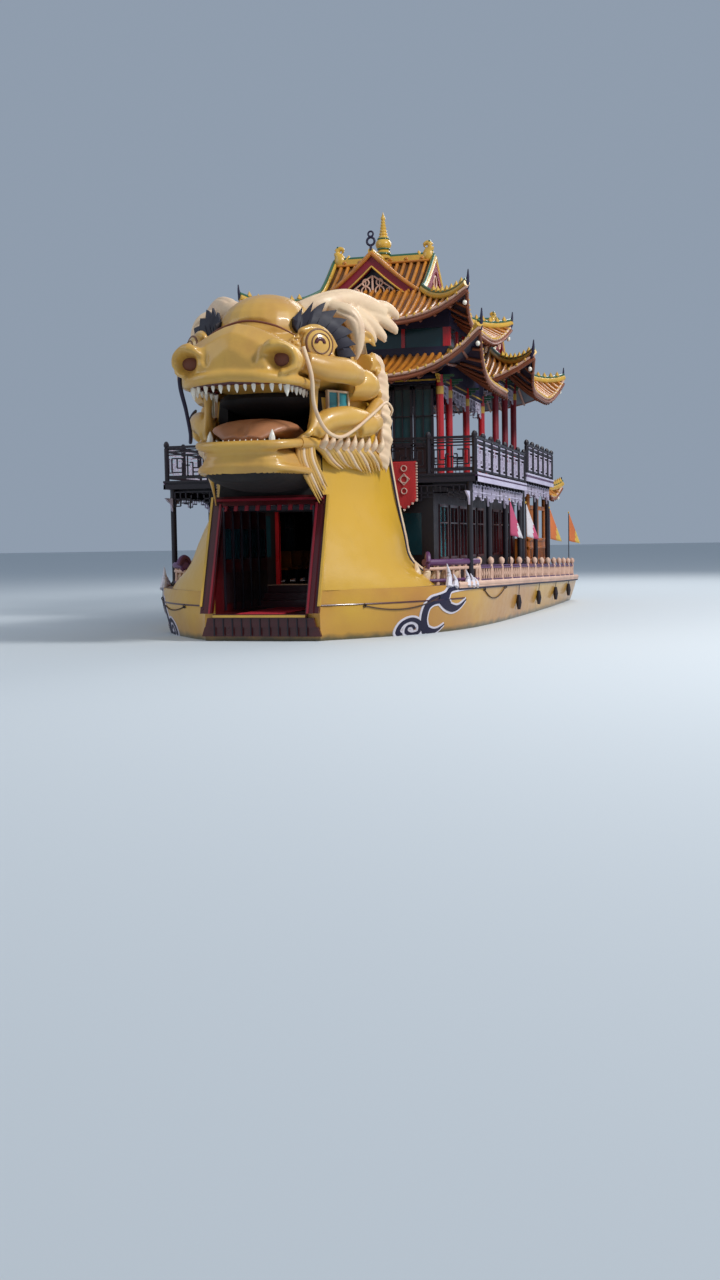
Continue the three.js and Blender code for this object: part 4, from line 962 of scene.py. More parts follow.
def make_entrance():
    door = Piece("door_frame")
    foot, head = at(0, 0.03, 1.2813), at(0, 0.9, 3.7)
    lean = (head - foot) / (head.z - foot.z)

    def leaning(x0, x1, z0, z1, fore, aft):
        low, high = foot + lean * (z0 - foot.z), foot + lean * (z1 - foot.z)
        corner = [Vector((x, p.y + fore, p.z)) for x, p in ((x0, low), (x1, low), (x1, high), (x0, high))]
        return slab(corner, Vector((0, aft - fore, 0)))

    for side in (1, -1):
        for x0, x1, low, high, fore, aft, paint in (
                (1.27, 1.47, 0.72, 3.70, -0.14, 0.04, maroon_paint()),
                (1.47, 1.60, 0.72, 3.74, -0.08, 0.06, maroon_paint()),
                (1.30, 1.35, 0.72, 3.55, -0.17, -0.13, crimson_paint()),
                (1.56, 1.62, 0.9, 3.74, -0.11, 0.02, ridge_glaze())):
            door.add(leaning(side * x0, side * x1, low, high, fore, aft), paint, False)
    # The last panel, from the lintel up under the jaw, is near-black: dark paint with painted shade.
    for half, low, high, fore, aft, paint in (
            (1.5, PASSAGE_TOP, 3.74, -0.14, 0.04, maroon_paint()),
            (1.5, 3.62, 3.68, -0.18, -0.12, crimson_paint()),
            (1.42, 3.74, 4.55, -0.06, 0.02, throat_shade())):
        door.add(leaning(-half, half, low, high, fore, aft), paint, False)
    for k in range(9):
        x = -1.2 + 0.3 * k
        door.add(leaning(x - 0.05, x + 0.05, 3.36, 3.5, -0.12, -0.06), crimson_paint(), False)
    door.done(("door_frame",))
    sill = Piece("bow_sill")
    sill.box((-1.25, -0.26, 0.60), (1.25, -0.001, 0.70), maroon_paint())
    sill.box((-1.25, -0.275, 0.62), (1.25, -0.255, 0.68), ridge_glaze())
    for z0, z1, half0, half1, fore in ((0.36, 0.60, 1.5, 1.44, -0.16), (0.12, 0.36, 1.62, 1.54, -0.10)):
        sill.add(slab([at(x, fore, z) for x, z in ((-half0, z0), (half0, z0), (half1, z1), (-half1, z1))],
                      Vector((0, 0.10, 0))), maroon_paint(), False)
    for k in range(11):
        x = -1.25 + 0.25 * k
        sill.box((x - 0.015, -0.18, 0.14), (x + 0.015, -0.15, 0.58), dark_wood())
    sill.done(("bow_sill",))
    carpet = Piece("carpet")
    rows = []
    for k in range(41):
        a = -0.255 + 3.5 * k / 40
        lift = 0.714 + 0.004 * math.sin(9 * a)
        rows.append([at(-0.62, a, 0.7015), at(0.62, a, 0.7015), at(0.62, a, lift), at(0.3, a, lift + 0.002),
                     at(-0.3, a, lift + 0.002), at(-0.62, a, lift)])
    pile = finish("carpet_pile", colours().carpet, deep=(0.30, 0.005, 0.02), rough=0.95, weave=40.0,
                  grain=70.0,
                  relief=0.5, streaks=0.3)
    carpet.add(rings_shape(rows), pile)
    carpet.done(("carpet",))


# Head
def make_head():
    shapes = [rings_shape([super_oval(a, h, lo, hi, peak=0.60 if a < -0.1 else 0.2)
                           for a, h, lo, hi in SKULL_SECTIONS]),
              ellipsoid((0, 1.05, 7.90), (1.30, 1.50, 1.04)),
              ellipsoid((0, 1.9, 7.70), (1.55, 1.5, 1.05))]
    port = [
        ellipsoid((1.15, -1.33, 6.93), (0.50, 0.48, 0.43)),
        limb([(0.72, -1.74, 7.08), (1.06, -1.88, 7.24), (1.45, -1.66, 7.08), (1.50, -1.55, 6.78),
              (1.2, -1.8, 6.62)],
             [0.12, 0.17, 0.16, 0.12, 0.10]),
        limb([(0.0, -1.93, 6.55), (0.75, -1.88, 6.5), (1.25, -1.5, 6.47), (1.45, -0.9, 6.46),
              (1.44, -0.3, 6.45),
              (1.5, 0.25, 6.5)], [0.15, 0.15, 0.14, 0.13, 0.13, 0.15], 10, 20),
        limb([(1.42, -0.45, 6.98), (1.80, 0.05, 6.86), (2.12, 0.75, 6.86), (2.24, 1.45, 6.80)],
             [0.27, 0.33, 0.34, 0.27], 16, 14),
        ellipsoid((1.40, 0.22, 7.40), (0.36, 0.46, 0.42)),
        limb([(1.12, -0.52, 7.46), (1.24, -0.34, 7.70), (1.50, -0.06, 7.84), (1.80, 0.28, 7.72),
              (1.90, 0.55, 7.42)],
             [0.10, 0.11, 0.10, 0.10, 0.12], 12, 14),
        limb([(1.85, 1.75, 6.60), (2.20, 2.2, 6.64), (2.24, 2.75, 6.60)], [0.40, 0.43, 0.30], 14, 12),
        torus(EYE, 0.47, 0.085, EYE_FACING),
        limb([(1.75, 1.9, 7.75), (2.15, 2.05, 7.88), (2.38, 2.25, 7.88), (2.50, 2.45, 7.66)],
             [0.24, 0.23, 0.16, 0.04], 12, 12, wide=0.6),
    ]
    shapes += [sided(shape, side) for side in (1, -1) for shape in port]
    head = sculpt("head", shapes, head_paint())
    grooves = [([(-1.3, -0.42, 7.62), (-0.75, -0.45, 7.92), (0, -0.55, 8.06), (0.75, -0.45, 7.92),
                 (1.3, -0.42, 7.62)], 0.22, 0.20)]
    grooves += both_sides([
        ([(1.5, -0.75, 6.72), (1.52, -0.3, 6.70), (1.72, 0.15, 6.56), (2.1, 0.9, 6.5)], 0.12, 0.06),
        ([(0.62, -1.92, 6.86), (0.68, -1.92, 7.15), (0.95, -1.85, 7.38)], 0.12, 0.05),
        ([(1.9, 1.95, 7.8), (2.2, 2.0, 7.93), (2.42, 2.2, 7.86)], 0.12, 0.10),
        ([(1.98, 1.42, 6.4), (2.25, 1.72, 6.75), (2.1, 1.78, 7.2)], 0.16, 0.10),
    ])
    carve(head, grooves)
    dent(head, [((side * 1.2, -1.83, 6.93), 0.40, (side * -0.04, 0.46, 0.02)) for side in (1, -1)])
    # Dark brown in the nostrils and along the crease between the dome and the snout: painted shade in the
    # hollows.
    hollow = finish("nostril_brown", (0.20, 0.06, 0.03), deep=(0.07, 0.02, 0.01), rough=0.6)
    nostrils = Piece("nostrils")
    # A near-black body fills the mouth behind the teeth: painted shade in the mouth.
    nostrils.add(ellipsoid((0, 1.75, 6.22), (1.58, 1.65, 0.42)), throat_shade())
    # A thin dark line in the carved crease: painted shade.
    nostrils.add(limb([(-1.22, -0.50, 7.64), (-0.7, -0.62, 7.90), (0, -0.70, 8.03), (0.7, -0.62, 7.90),
                       (1.22, -0.50, 7.64)],
                      [0.015, 0.028, 0.03, 0.028, 0.015], 8, 30), hollow)
    for side in (1, -1):
        nostrils.add(ellipsoid((side * 1.18, -1.50, 6.95), (0.24, 0.09, 0.20)), hollow)
    settle(merge("head", [head, nostrils.object()]), ("head",))


def make_cheeks():
    rolls = [
        limb([(1.42, 0.22, 5.30), (1.66, 0.58, 5.60), (2.02, 1.2, 5.72), (2.26, 1.95, 5.72)],
             [0.24, 0.30, 0.31, 0.26], 16, 14),
        limb([(2.12, 1.7, 5.50), (2.34, 2.1, 5.60), (2.44, 2.65, 5.70)], [0.30, 0.32, 0.22], 16, 12),
        limb([(1.38, 0.15, 5.2), (1.42, 0.22, 5.8), (1.44, 0.26, 6.5)], [0.14, 0.10, 0.13], 12, 10),
        limb([(1.24, -0.35, 5.12), (1.40, 0.0, 5.3), (1.46, 0.2, 5.75), (1.44, 0.22, 6.3)],
             [0.08, 0.10, 0.09, 0.08], 10, 14),
        limb([(1.5, 0.4, 5.24), (1.9, 1.2, 5.3), (2.2, 2.1, 5.34)], [0.10, 0.12, 0.08], 10, 12),
        limb([(2.35, 2.5, 6.0), (2.45, 2.8, 6.2), (2.38, 3.1, 6.15)], [0.16, 0.18, 0.08], 12, 8),
        limb([(2.3, 2.3, 5.8), (2.4, 2.6, 6.0), (2.38, 2.9, 6.1)], [0.2, 0.2, 0.12], 12, 8),
    ]
    for side, name in SIDES:
        cheek = sculpt(f"cheek_{name}", [sided(r, side) for r in rolls], head_paint())
        settle(cheek, (f"cheek_{name}",))


def make_jaw():
    shapes = [rings_shape([super_oval(a, h, lo, hi, squareness=0.75) for a, h, lo, hi in JAW_SECTIONS])]
    rim = [(0.0, -1.5, 4.90), (0.75, -1.45, 4.90), (1.15, -1.1, 4.94), (1.27, -0.4, 5.0), (1.34, 0.4, 5.08)]
    port = [limb(rim, [0.13, 0.13, 0.12, 0.12, 0.13], 12, 20),
            limb([(0.0, -1.46, 4.40), (0.8, -1.38, 4.38), (1.2, -0.9, 4.34), (1.36, 0.0, 4.3)],
                 [0.11, 0.11, 0.10, 0.1], 12, 16)]
    shapes += [sided(shape, side) for side in (1, -1) for shape in port]
    jaw = sculpt("lower_jaw", shapes, head_paint())
    carve(jaw, [([(-1.2, -0.95, 4.66), (-0.8, -1.48, 4.66), (0, -1.58, 4.66), (0.8, -1.48, 4.66),
                  (1.2, -0.95, 4.66)],
                 0.12, 0.06)])
    # The jaw's downward faces are painted near-black: painted shade under the jaw.
    repaint(jaw, throat_shade(), lambda face: face.normal.z < -0.05 and face.center.z < 4.23)
    settle(jaw, ("lower_jaw",))
    tongue = sculpt("tongue", [
        limb([(0, 0.8, 5.3), (0, 0.1, 5.42), (0, -0.7, 5.34), (0, -1.2, 5.06)], [0.24, 0.25, 0.23, 0.12], 20,
             14,
             wide=4.3),
    ], pink_gum(), grain=0.035)
    carve(tongue, [([(0, -1.3, 5.2), (0, -0.5, 5.46), (0, 0.6, 5.5)], 0.2, 0.08)])
    settle(tongue, ("tongue",))


def tooth(foot, size, down, lean=0.0):
    x, a, z = foot
    d = -1 if down else 1
    return limb([(x, a, z - d * 0.04), (x, a + lean * 0.4, z + d * size * 0.55), (x, a + lean, z + d * size)],
                [0.30 * size, 0.22 * size, 0.012], 9, 7)


def tooth_line(port, front, steps):
    """A line round a gum from starboard to port: port points are (x, aft), front is the middle's aft."""
    around = [(-x, a, 0) for x, a in port] + [(0, front, 0)] + [(x, a, 0) for x, a in reversed(port)]
    return smooth_line(around, steps)


def make_teeth():
    upper = Piece("upper_teeth")
    line = tooth_line([(1.22, 0.3), (1.25, -0.6), (1.15, -1.45), (0.6, -1.72)], -1.78, 23)
    for k, p in enumerate(line):
        middle = abs(k - 11.5)
        size = 0.30 if abs(middle - 6.5) < 0.6 else (0.18 if k % 2 else 0.22)
        upper.add(tooth((p.x, p.y, 6.38), size, True, 0.04), tooth_enamel())
    upper.add(limb([(p.x, p.y, 6.42) for p in line], [0.085, 0.085], 8, 40), maroon_paint())
    upper.done(("upper_teeth",))
    lower = Piece("lower_teeth")
    line = tooth_line([(1.05, 0.25), (1.08, -0.5), (0.95, -1.18), (0.45, -1.34)], -1.36, 24)
    for k, p in enumerate(line):
        corner = k in (7, 17)
        lower.add(tooth((p.x, p.y, 4.97), 0.32 if corner else 0.09, False, 0.03), tooth_enamel())
    lower.add(limb([(p.x, p.y, 4.95) for p in line], [0.06, 0.06], 8, 40), pink_gum())
    lower.done(("lower_teeth",))


def make_eyes():
    ball_gold = finish("eye_gold", (0.70, 0.42, 0.10), deep=(0.42, 0.20, 0.05), rough=0.18, coat=0.6,
                       streaks=0.1)
    line_brown = finish("eye_line", (0.16, 0.06, 0.02), rough=0.4)
    turn = EYE_FACING.to_track_quat("Z", "Y").to_matrix()
    centre = Vector(EYE)
    for side, name in SIDES:
        eye = Piece(f"eye_{name}")
        eye.add(sided(ellipsoid(centre + EYE_FACING * 0.08, (0.44, 0.44, 0.24), turn), side), ball_gold)
        for ring, tube, lift in ((0.37, 0.030, 0.20), (0.25, 0.018, 0.28)):
            eye.add(sided(torus(centre + EYE_FACING * lift, ring, tube, EYE_FACING), side), line_brown)
        pupil = centre + EYE_FACING * 0.28 + Vector((-0.02, -0.02, 0.0))
        eye.add(sided(torus(pupil, 0.11, 0.06, EYE_FACING, 20, 10, (0.0, math.pi)), side), maroon_paint())
        eye.done((f"eye_{name}",))


def make_brows():
    """A dark flame crest behind each eye: a smooth inner edge and a row of flame points outside."""
    inner = [(0.99, 0.0, 7.97), (1.12, 0.12, 7.76), (1.31, 0.35, 7.87), (1.6, 0.58, 7.87), (1.76, 0.75, 7.74),
             (1.84, 0.85, 7.54), (1.87, 0.95, 7.27), (2.0, 1.0, 7.05)]
    outer = [(0.94, 0.12, 8.27), (1.17, 0.4, 8.47), (1.48, 0.7, 8.64), (1.8, 0.95, 8.46), (2.09, 1.1, 8.17),
             (2.23, 1.2, 7.77), (2.27, 1.25, 7.39), (2.19, 1.2, 7.01)]
    count, flames = 99, 9
    inside = smooth_line([at(*p) for p in inner], count)
    outside = smooth_line([at(*p) for p in outer], count)
    for side, name in SIDES:
        rings = []
        for k in range(count + 1):
            p, q = inside[k], outside[k]
            phase = (k / count * flames) % 1.0 if k < count else 0.0
            along_line = (outside[min(k + 1, count)] - outside[max(k - 1, 0)]).normalized()
            tip = p + (q - p) * (0.66 + 0.42 * phase ** 1.3) + along_line * 0.07 * phase ** 2
            face = along_line.cross(q - p).normalized()
            if face.y > 0:
                face = -face
            middle = (p * 0.6 + tip * 0.4)
            rings.append([p + face * 0.05, middle + face * 0.13, tip + face * 0.03, tip - face * 0.03,
                          middle - face * 0.08, p - face * 0.10])
        brow = Piece(f"brow_{name}")
        brow.add(sided(rings_shape(rings), side), brow_black())
        brow.done((f"brow_{name}",), crease=50)


def make_antlers():
    lobes = [
        limb([(0.8, 1.2, 8.50), (1.3, 1.6, 8.72), (1.75, 2.3, 8.90), (2.2, 2.9, 8.82), (2.55, 3.25, 8.62)],
             [0.26, 0.30, 0.31, 0.27, 0.18], 16, 18),
        limb([(2.1, 2.8, 8.62), (2.5, 3.2, 8.48), (2.8, 3.4, 8.22), (2.82, 3.4, 8.1)],
             [0.22, 0.19, 0.12, 0.03], 12, 12),
        limb([(2.1, 2.9, 8.8), (2.55, 3.3, 8.82), (2.82, 3.5, 8.62), (2.84, 3.5, 8.5)],
             [0.22, 0.18, 0.11, 0.03], 12, 12),
        limb([(1.9, 2.4, 8.62), (2.3, 2.8, 8.30), (2.58, 3.0, 7.98), (2.6, 3.0, 7.84)],
             [0.24, 0.19, 0.12, 0.03], 12, 12),
        limb([(1.8, 2.1, 8.6), (2.15, 2.4, 8.22), (2.38, 2.7, 7.92), (2.4, 2.75, 7.8)],
             [0.24, 0.18, 0.11, 0.03], 12, 12),
        limb([(1.55, 1.6, 8.6), (2.0, 1.6, 8.42), (2.2, 1.65, 8.05), (2.2, 1.75, 7.6), (2.12, 1.8, 7.25)],
             [0.22, 0.25, 0.23, 0.16, 0.05], 12, 18),
        limb([(1.4, 1.8, 8.85), (1.7, 2.8, 9.02), (1.8, 3.5, 8.80), (1.75, 3.7, 8.6)],
             [0.24, 0.19, 0.12, 0.04], 12, 14),
        limb([(1.0, 1.6, 8.7), (1.1, 2.6, 8.85), (1.1, 3.3, 8.62), (1.08, 3.5, 8.4)], [0.22, 0.2, 0.13, 0.04],
             12, 14),
    ]
    for side, name in SIDES:
        horn = sculpt(f"antler_{name}", [sided(l, side) for l in lobes], cream_paint(), grain=0.036, rounds=3)
        carve(horn, both_sides([([(1.2, 1.3, 8.9), (1.75, 2.0, 9.1), (2.3, 2.8, 9.0)], 0.08, 0.03),
                                ([(1.8, 1.35, 8.5), (2.3, 1.4, 8.2), (2.3, 1.5, 7.6)], 0.08, 0.04),
                                ([(1.5, 1.45, 8.4), (2.0, 2.0, 8.35), (2.3, 2.55, 8.1)], 0.07, 0.03)],
                               (side,)))
        settle(horn, (f"antler_{name}",))


def make_beards():
    gold, cream = head_paint(), cream_paint()
    for side, name in SIDES:
        strands = Piece(f"beard_{name}")

        def lock(points, radii, paint):
            strands.add(sided(limb(points, radii, 8, 16), side), paint)

        # Hanging strands at the jaw's corner
        for k in range(7):
            t = k / 6
            root = (1.22 + 0.20 * t, -0.45 + 0.55 * t, 5.0)
            upper = (1.20 + 0.24 * t, -0.42 + 0.60 * t, 4.62)
            lower = (1.27 + 0.25 * t, -0.05 + 0.55 * t, 4.18 + 0.05 * t)
            tip = (1.42 + 0.16 * t, 0.62 + 0.20 * t, 3.52 + 0.42 * t)
            lock([root, upper, lower, tip], [0.06, 0.065, 0.055, 0.012], cream if k % 3 == 2 else gold)
        # Locks that sweep aft and down under the cheek
        for k in range(15):
            t = k / 14
            root = (1.36 + 0.86 * t, 0.15 + 1.95 * t, 5.05)
            second = (root[0] + 0.17, root[1] + 0.36, 4.86)
            third = (root[0] + 0.24, root[1] + 0.80, 4.60 + 0.04 * math.sin(9 * t))
            tip = (1.74 + 0.74 * t, 1.45 + 1.65 * t, 4.40 + 0.05 * math.sin(7 * t))
            lock([root, second, third, tip], [0.075, 0.08, 0.06, 0.010], cream if k % 3 == 1 else gold)
        # Flame tips that stand over the roots
        for t in shares(8):
            x, a = 1.56 + 0.90 * t, 0.40 + 2.25 * t
            lock([(x, a, 4.96), (x + 0.13, a - 0.04, 5.08), (x + 0.12, a + 0.10, 5.32)], [0.12, 0.085, 0.008],
                 cream)
        lock([(1.25, -0.5, 5.0), (1.40, 0.25, 5.03), (1.58, 0.9, 5.05), (1.92, 1.8, 5.05),
              (2.19, 2.65, 5.07)],
             [0.15, 0.15, 0.15, 0.14, 0.1], gold)
        strands.done((f"beard_{name}",), crease=60)
        whisker = Piece(f"whisker_{name}")
        line = [(1.56, -1.0, 7.28), (1.73, -0.9, 6.6), (1.70, -0.6, 5.9), (1.80, -0.1, 5.37),
                (2.01, 0.4, 5.17),
                (2.23, 1.0, 5.35), (2.60, 1.9, 5.9), (2.72, 2.6, 6.2), (2.84, 2.8, 6.05), (2.78, 2.9, 5.88)]
        r = sizes().whisker
        # The starboard whisker is painted navy instead of cream: painted shade.
        paint = cream if side > 0 else navy_paint()
        whisker.add(sided(limb(line, [r, 0.85 * r, 0.8 * r, 0.7 * r, 0.6 * r, 0.45 * r], 10, 80), side),
                    paint)
        whisker.done((f"whisker_{name}",))


def make_mane():
    random.seed(4)
    locks = []
    for row, z in enumerate((8.15, 7.6, 7.05, 6.5, 5.95, 5.4, 4.85)):
        back = 3.15 + 0.12 * row if row < 5 else 3.72
        wide = 1.75 if row < 2 else 2.08
        for k in range(7):
            u = -1 + k / 3
            x = wide * u
            a = back - 0.35 * u * u
            curl = 0.12 * random.random()
            locks.append(limb([(x, a - 0.3, z + 0.22), (x * 1.03, a + 0.22, z + 0.14),
                               (x * 1.07, a + 0.40, z - 0.16),
                               (x * 1.09, a + 0.28, z - 0.42 - curl), (x * 1.07, a + 0.12, z - 0.34)],
                              [0.30, 0.26, 0.18, 0.1, 0.03], 10, 14))
    edge = smooth_line([Vector(p) for p in [(2.44, 3.05, 7.39), (2.52, 3.05, 7.1), (2.61, 3.05, 6.69),
                                            (2.58, 3.05, 6.34), (2.66, 3.05, 5.89), (2.67, 3.05, 5.35),
                                            (2.61, 3.05, 4.92), (2.54, 3.05, 4.54)]], 15)
    for side in (1, -1):
        for k, p in enumerate(edge):
            size = 0.11 + 0.03 * math.sin(2.4 * k)
            strand = [(p.x - 0.22, p.y - 0.15, p.z + 0.12), (p.x - 0.06, p.y, p.z + 0.04),
                      (p.x + 0.03, p.y + 0.08, p.z - 0.08), (p.x - 0.02, p.y + 0.12, p.z - 0.24)]
            locks.append(sided(limb(strand, [size, size, 0.7 * size, 0.02], 8, 8), side))
    mane = sculpt("mane", locks, cream_paint(), grain=0.042, rounds=3)

    def over_the_neck(face):
        c = face.center
        return c.y - SILL_Y < 3.5 and 2.79 * abs(c.x) + c.y - SILL_Y < 9.75 + 0.22 * math.sin(9 * c.z)

    repaint(mane, head_paint(), over_the_neck)
    settle(mane, ("mane",))


# Roofs
def roof_point(roof, face, u, t):
    """A point of a hipped slope: face 0 front, 1 port, 2 aft, 3 starboard; u along the eave, t up it."""
    (eh, ef, et), (ih, inf, ito) = roof["eave"], roof["inner"]
    eave_z, corner_z, inner_z = roof["heights"]
    flare = roof["flare"]
    half = eh - flare + (ih - eh + flare) * t
    start = ef + flare + (inf - ef - flare) * t
    end = et - flare + (ito - et + flare) * t
    corners = [(-half, start), (half, start), (half, end), (-half, end)]
    (x0, a0), (x1, a1) = corners[face], corners[(face + 1) % 4]
    x, a = x0 + (x1 - x0) * u, a0 + (a1 - a0) * u
    edge = abs(2 * u - 1) ** 4 * (1 - t) ** 2
    out = Vector((x, a - (start + end) / 2))
    out = out.normalized() * edge * flare * 1.41 if out.length > 1e-6 else Vector((0, 0))
    z = eave_z + (inner_z - eave_z) * t ** 1.25 + (corner_z - eave_z) * edge
    return at(x + out.x, a + out.y, z)


def roof_shell(name, roof, closed, boxes):
    """The slopes as a closed shell: tile pans above, boards at the eave, soffit below."""
    per_side, rows = 20, 10
    top, under = [], []
    for r in range(rows + 1):
        t = r / rows
        ring = [roof_point(roof, face, i / per_side, t) for face in range(4) for i in range(per_side)]
        top.append(ring)
        under.append([p - UP * roof["thick"] for p in ring])
    count = 4 * per_side
    rings = list(reversed(under)) + top
    verts, faces = rings_shape(rings, closed=not closed)
    shell = Piece(name).add((verts, faces), shaded_pan_glaze())
    for m in (fascia_paint(), soffit_paint()):
        shell.materials.append(m)
    for f, face in enumerate(faces):
        rows_used = {i // count for i in face}
        if rows_used <= set(range(rows + 1)):
            shell.slots[f] = 2
        elif rows_used == {rows, rows + 1}:
            shell.slots[f] = 1
    made = shell.object(crease=45)
    layer = made.data.uv_layers.new(name="UVMap")
    for loop in made.data.loops:
        i = loop.vertex_index
        layer.data[loop.index].uv = (i % count, abs(i // count - rows - 0.5) * 0.33)
    if boxes:
        cut(made, boxes)
    return made


def clip(path, keep):
    """The parts of a path whose points pass a test."""
    runs, run = [], []
    for p in path:
        if keep(p):
            run.append(p)
        else:
            if len(run) > 2:
                runs.append(run)
            run = []
    if len(run) > 2:
        runs.append(run)
    return runs


def slope_paths(roof, pitch, lift, keep=lambda p: True, steps=9):
    """Paths up the slopes at even spacing along each eave, ending at the hips."""
    paths = []
    (eh, ef, et), (ih, inf, ito) = roof["eave"], roof["inner"]
    flare = roof["flare"]
    for face in range(4):
        across = face in (0, 2)
        low = eh - flare if across else (et - ef) / 2 - flare
        high = ih if across else (ito - inf) / 2
        count = int(2 * low / pitch)
        for k in range(count + 1):
            place = -low + (2 * low) * k / count
            top = 1.0 if abs(place) <= high else (low - abs(place)) / max(low - high, 1e-6)
            if top < 0.06:
                continue
            path = []
            for s in range(steps + 1):
                t = top * s / steps
                half = low + (high - low) * t
                u = (place + half) / (2 * half) if face < 2 else (half - place) / (2 * half)
                path.append(roof_point(roof, face, min(1, max(0, u)), t) + UP * lift)
            paths += clip(path, keep)
    return paths


def eave_loop(roof, lift=0.0, steps=20):
    return [[roof_point(roof, face, i / steps, 0) + UP * lift for i in range(steps + 1)]
            for face in range(4)]


def hip_paths(roof, lift):
    paths = []
    for face in range(4):
        paths.append([roof_point(roof, face, 0, 1 - s / 10) + UP * lift for s in range(11)])
    return paths


def spike_line(roof, corner):
    half, start, end = roof["eave"]
    sx, a, sy = ((-1, start, -1), (1, start, -1), (1, end, 1), (-1, end, 1))[corner]
    z, rise = roof["heights"][1], roof["spike"]
    return [(sx * (half - 0.42), a - sy * 0.42, z - 0.30), (sx * (half - 0.08), a - sy * 0.08, z - 0.05),
            (sx * half, a, z + rise * 0.45), (sx * (half + 0.02), a + sy * 0.02, z + rise)]


def dress_roof(name, roof, closed, boxes=(), keep=lambda p: True, extra=(), corners=(0, 1, 2, 3)):
    parts = [roof_shell(name + "_shell", roof, closed, boxes)]
    rows = slope_paths(roof, sizes().tile_pitch, 0.035, keep)
    parts.append(bars(name + "_rows", rows, sizes().tile_radius, tile_glaze(), 8))
    ends = [(row[0], UPRIGHT, FULL_SIZE) for row in rows]
    bead = ([Vector(v) * 0.082
             for v in ((1, 0, 0), (0, 1, 0), (-1, 0, 0), (0, -1, 0), (0, 0, 1), (0, 0, -1))],
            [(0, 1, 4), (1, 2, 4), (2, 3, 4), (3, 0, 4), (1, 0, 5), (2, 1, 5), (3, 2, 5), (0, 3, 5)])
    parts.append(copies(name + "_ends", bead, ends, ridge_glaze()))
    rafters = slope_paths(roof, sizes().rafter_pitch, -roof["thick"] - 0.045, keep)
    parts.append(bars(name + "_rafters", rafters, 0.05, fascia_paint(), 4))
    rim = [run for path in eave_loop(roof, 0.01) for run in clip(path, keep)]
    parts.append(bars(name + "_rim", rim, 0.045, rail_paint(), 8))
    board = [run for path in eave_loop(roof, -roof["thick"] + 0.03) for run in clip(path, keep)]
    parts.append(bars(name + "_board", board, 0.055, fascia_paint(), 8))
    hips = [run for path in hip_paths(roof, 0.11) for run in clip(path, keep)]
    parts.append(bars(name + "_hips", hips, 0.11, ridge_glaze(), 10))
    parts.append(bars(name + "_hip_caps", [[p + UP * 0.12 for p in h] for h in hips], 0.06,
                      green_glaze(), 8))
    beads = []
    for h in hips:
        for p in h[3:-1]:
            beads.append((p + UP * 0.17, UPRIGHT, (1.2, 1.2, 2.0)))
    if beads:
        parts.append(copies(name + "_beads", bead, beads, ridge_glaze()))
    spikes = Piece(name + "_spikes")
    for corner in corners:
        spikes.add(limb(spike_line(roof, corner), [0.10, 0.085, 0.05, 0.018], 10, 20), navy_paint())
        tip = spike_line(roof, corner)[1]
        spikes.add(ellipsoid((tip[0] * 0.99, tip[1], tip[2] - 0.42), (0.07, 0.07, 0.08), around=14, down=8),
                   tooth_enamel())
        spikes.add(limb([(tip[0] * 0.99, tip[1], tip[2] - 0.1), (tip[0] * 0.99, tip[1], tip[2] - 0.36)],
                        [0.012, 0.012], 6, 2), dark_wood())
    parts.append(spikes.object())
    parts += list(extra)
    settle(merge(name, parts), (name,))


def gable_height(s, base, top):
    """Height up a gable slope, s from 0 at its foot to 1 at the ridge."""
    return base + (top - base) * s ** 1.2


def ridge_block(half, start, end, base, top):
    """The upper gabled part: slopes front and back under a ridge across the boat."""
    middle = (start + end) / 2
    outline = [(start, base - 0.15)]
    outline += [(start + (middle - start) * s, gable_height(s, base, top)) for s in shares(8)]
    outline += [(end + (middle - end) * s, gable_height(s, base, top)) for s in shares(8)[7::-1]]
    outline.append((end, base - 0.15))
    piece = Piece("gable_block")
    piece.add(slab([at(-half, a, z) for a, z in outline], Vector((2 * half, 0, 0))), shaded_pan_glaze(), True)
    made = piece.object(crease=40)
    repaint(made, crimson_paint(), lambda face: abs(face.normal.x) > 0.9)
    return made


def gable_dress(half, start, end, base, top):
    """Tile rows on both slopes, verge boards and ridges at both ends."""
    middle = (start + end) / 2
    rows, verges = [], []
    count = int(2 * half / sizes().tile_pitch)
    for foot in (start, end):
        for k in range(count + 1):
            x = -half + 2 * half * k / count
            rows.append([at(x, foot + (middle - foot) * s, gable_height(s, base, top) + 0.03)
                         for s in shares(8)])
        for side in (1, -1):
            verges.append([at(side * (half + 0.02), foot + (middle - foot) * s, gable_height(s, base, top)
                              + 0.10)
                           for s in shares(8)])
    boards = Piece("verge_boards")
    for side in (1, -1):
        for foot in (start, end):
            outline = [(foot + (middle - foot) * s, gable_height(s, base, top) + 0.02) for s in shares(8)]
            outline += [(foot + (middle - foot) * s, gable_height(s, base, top) - 0.34)
                        for s in shares(8)[:0:-1]]
            boards.add(slab([at(side * half, a, z) for a, z in outline], Vector((side * 0.09, 0, 0))),
                       crimson_paint(), False)
        # A pierced rosette in the gable
        boards.add(torus((side * (half + 0.04), middle, base + 0.45 * (top - base)), 0.22, 0.035,
                         Vector((side, 0, 0))), rail_paint())
    return [bars("gable_rows", rows, sizes().tile_radius, tile_glaze(), 8),
            bars("gable_verges", verges, 0.11, ridge_glaze(), 10),
            bars("gable_caps", [[p + UP * 0.11 for p in v] for v in verges], 0.055, green_glaze(), 8),
            boards.object()]


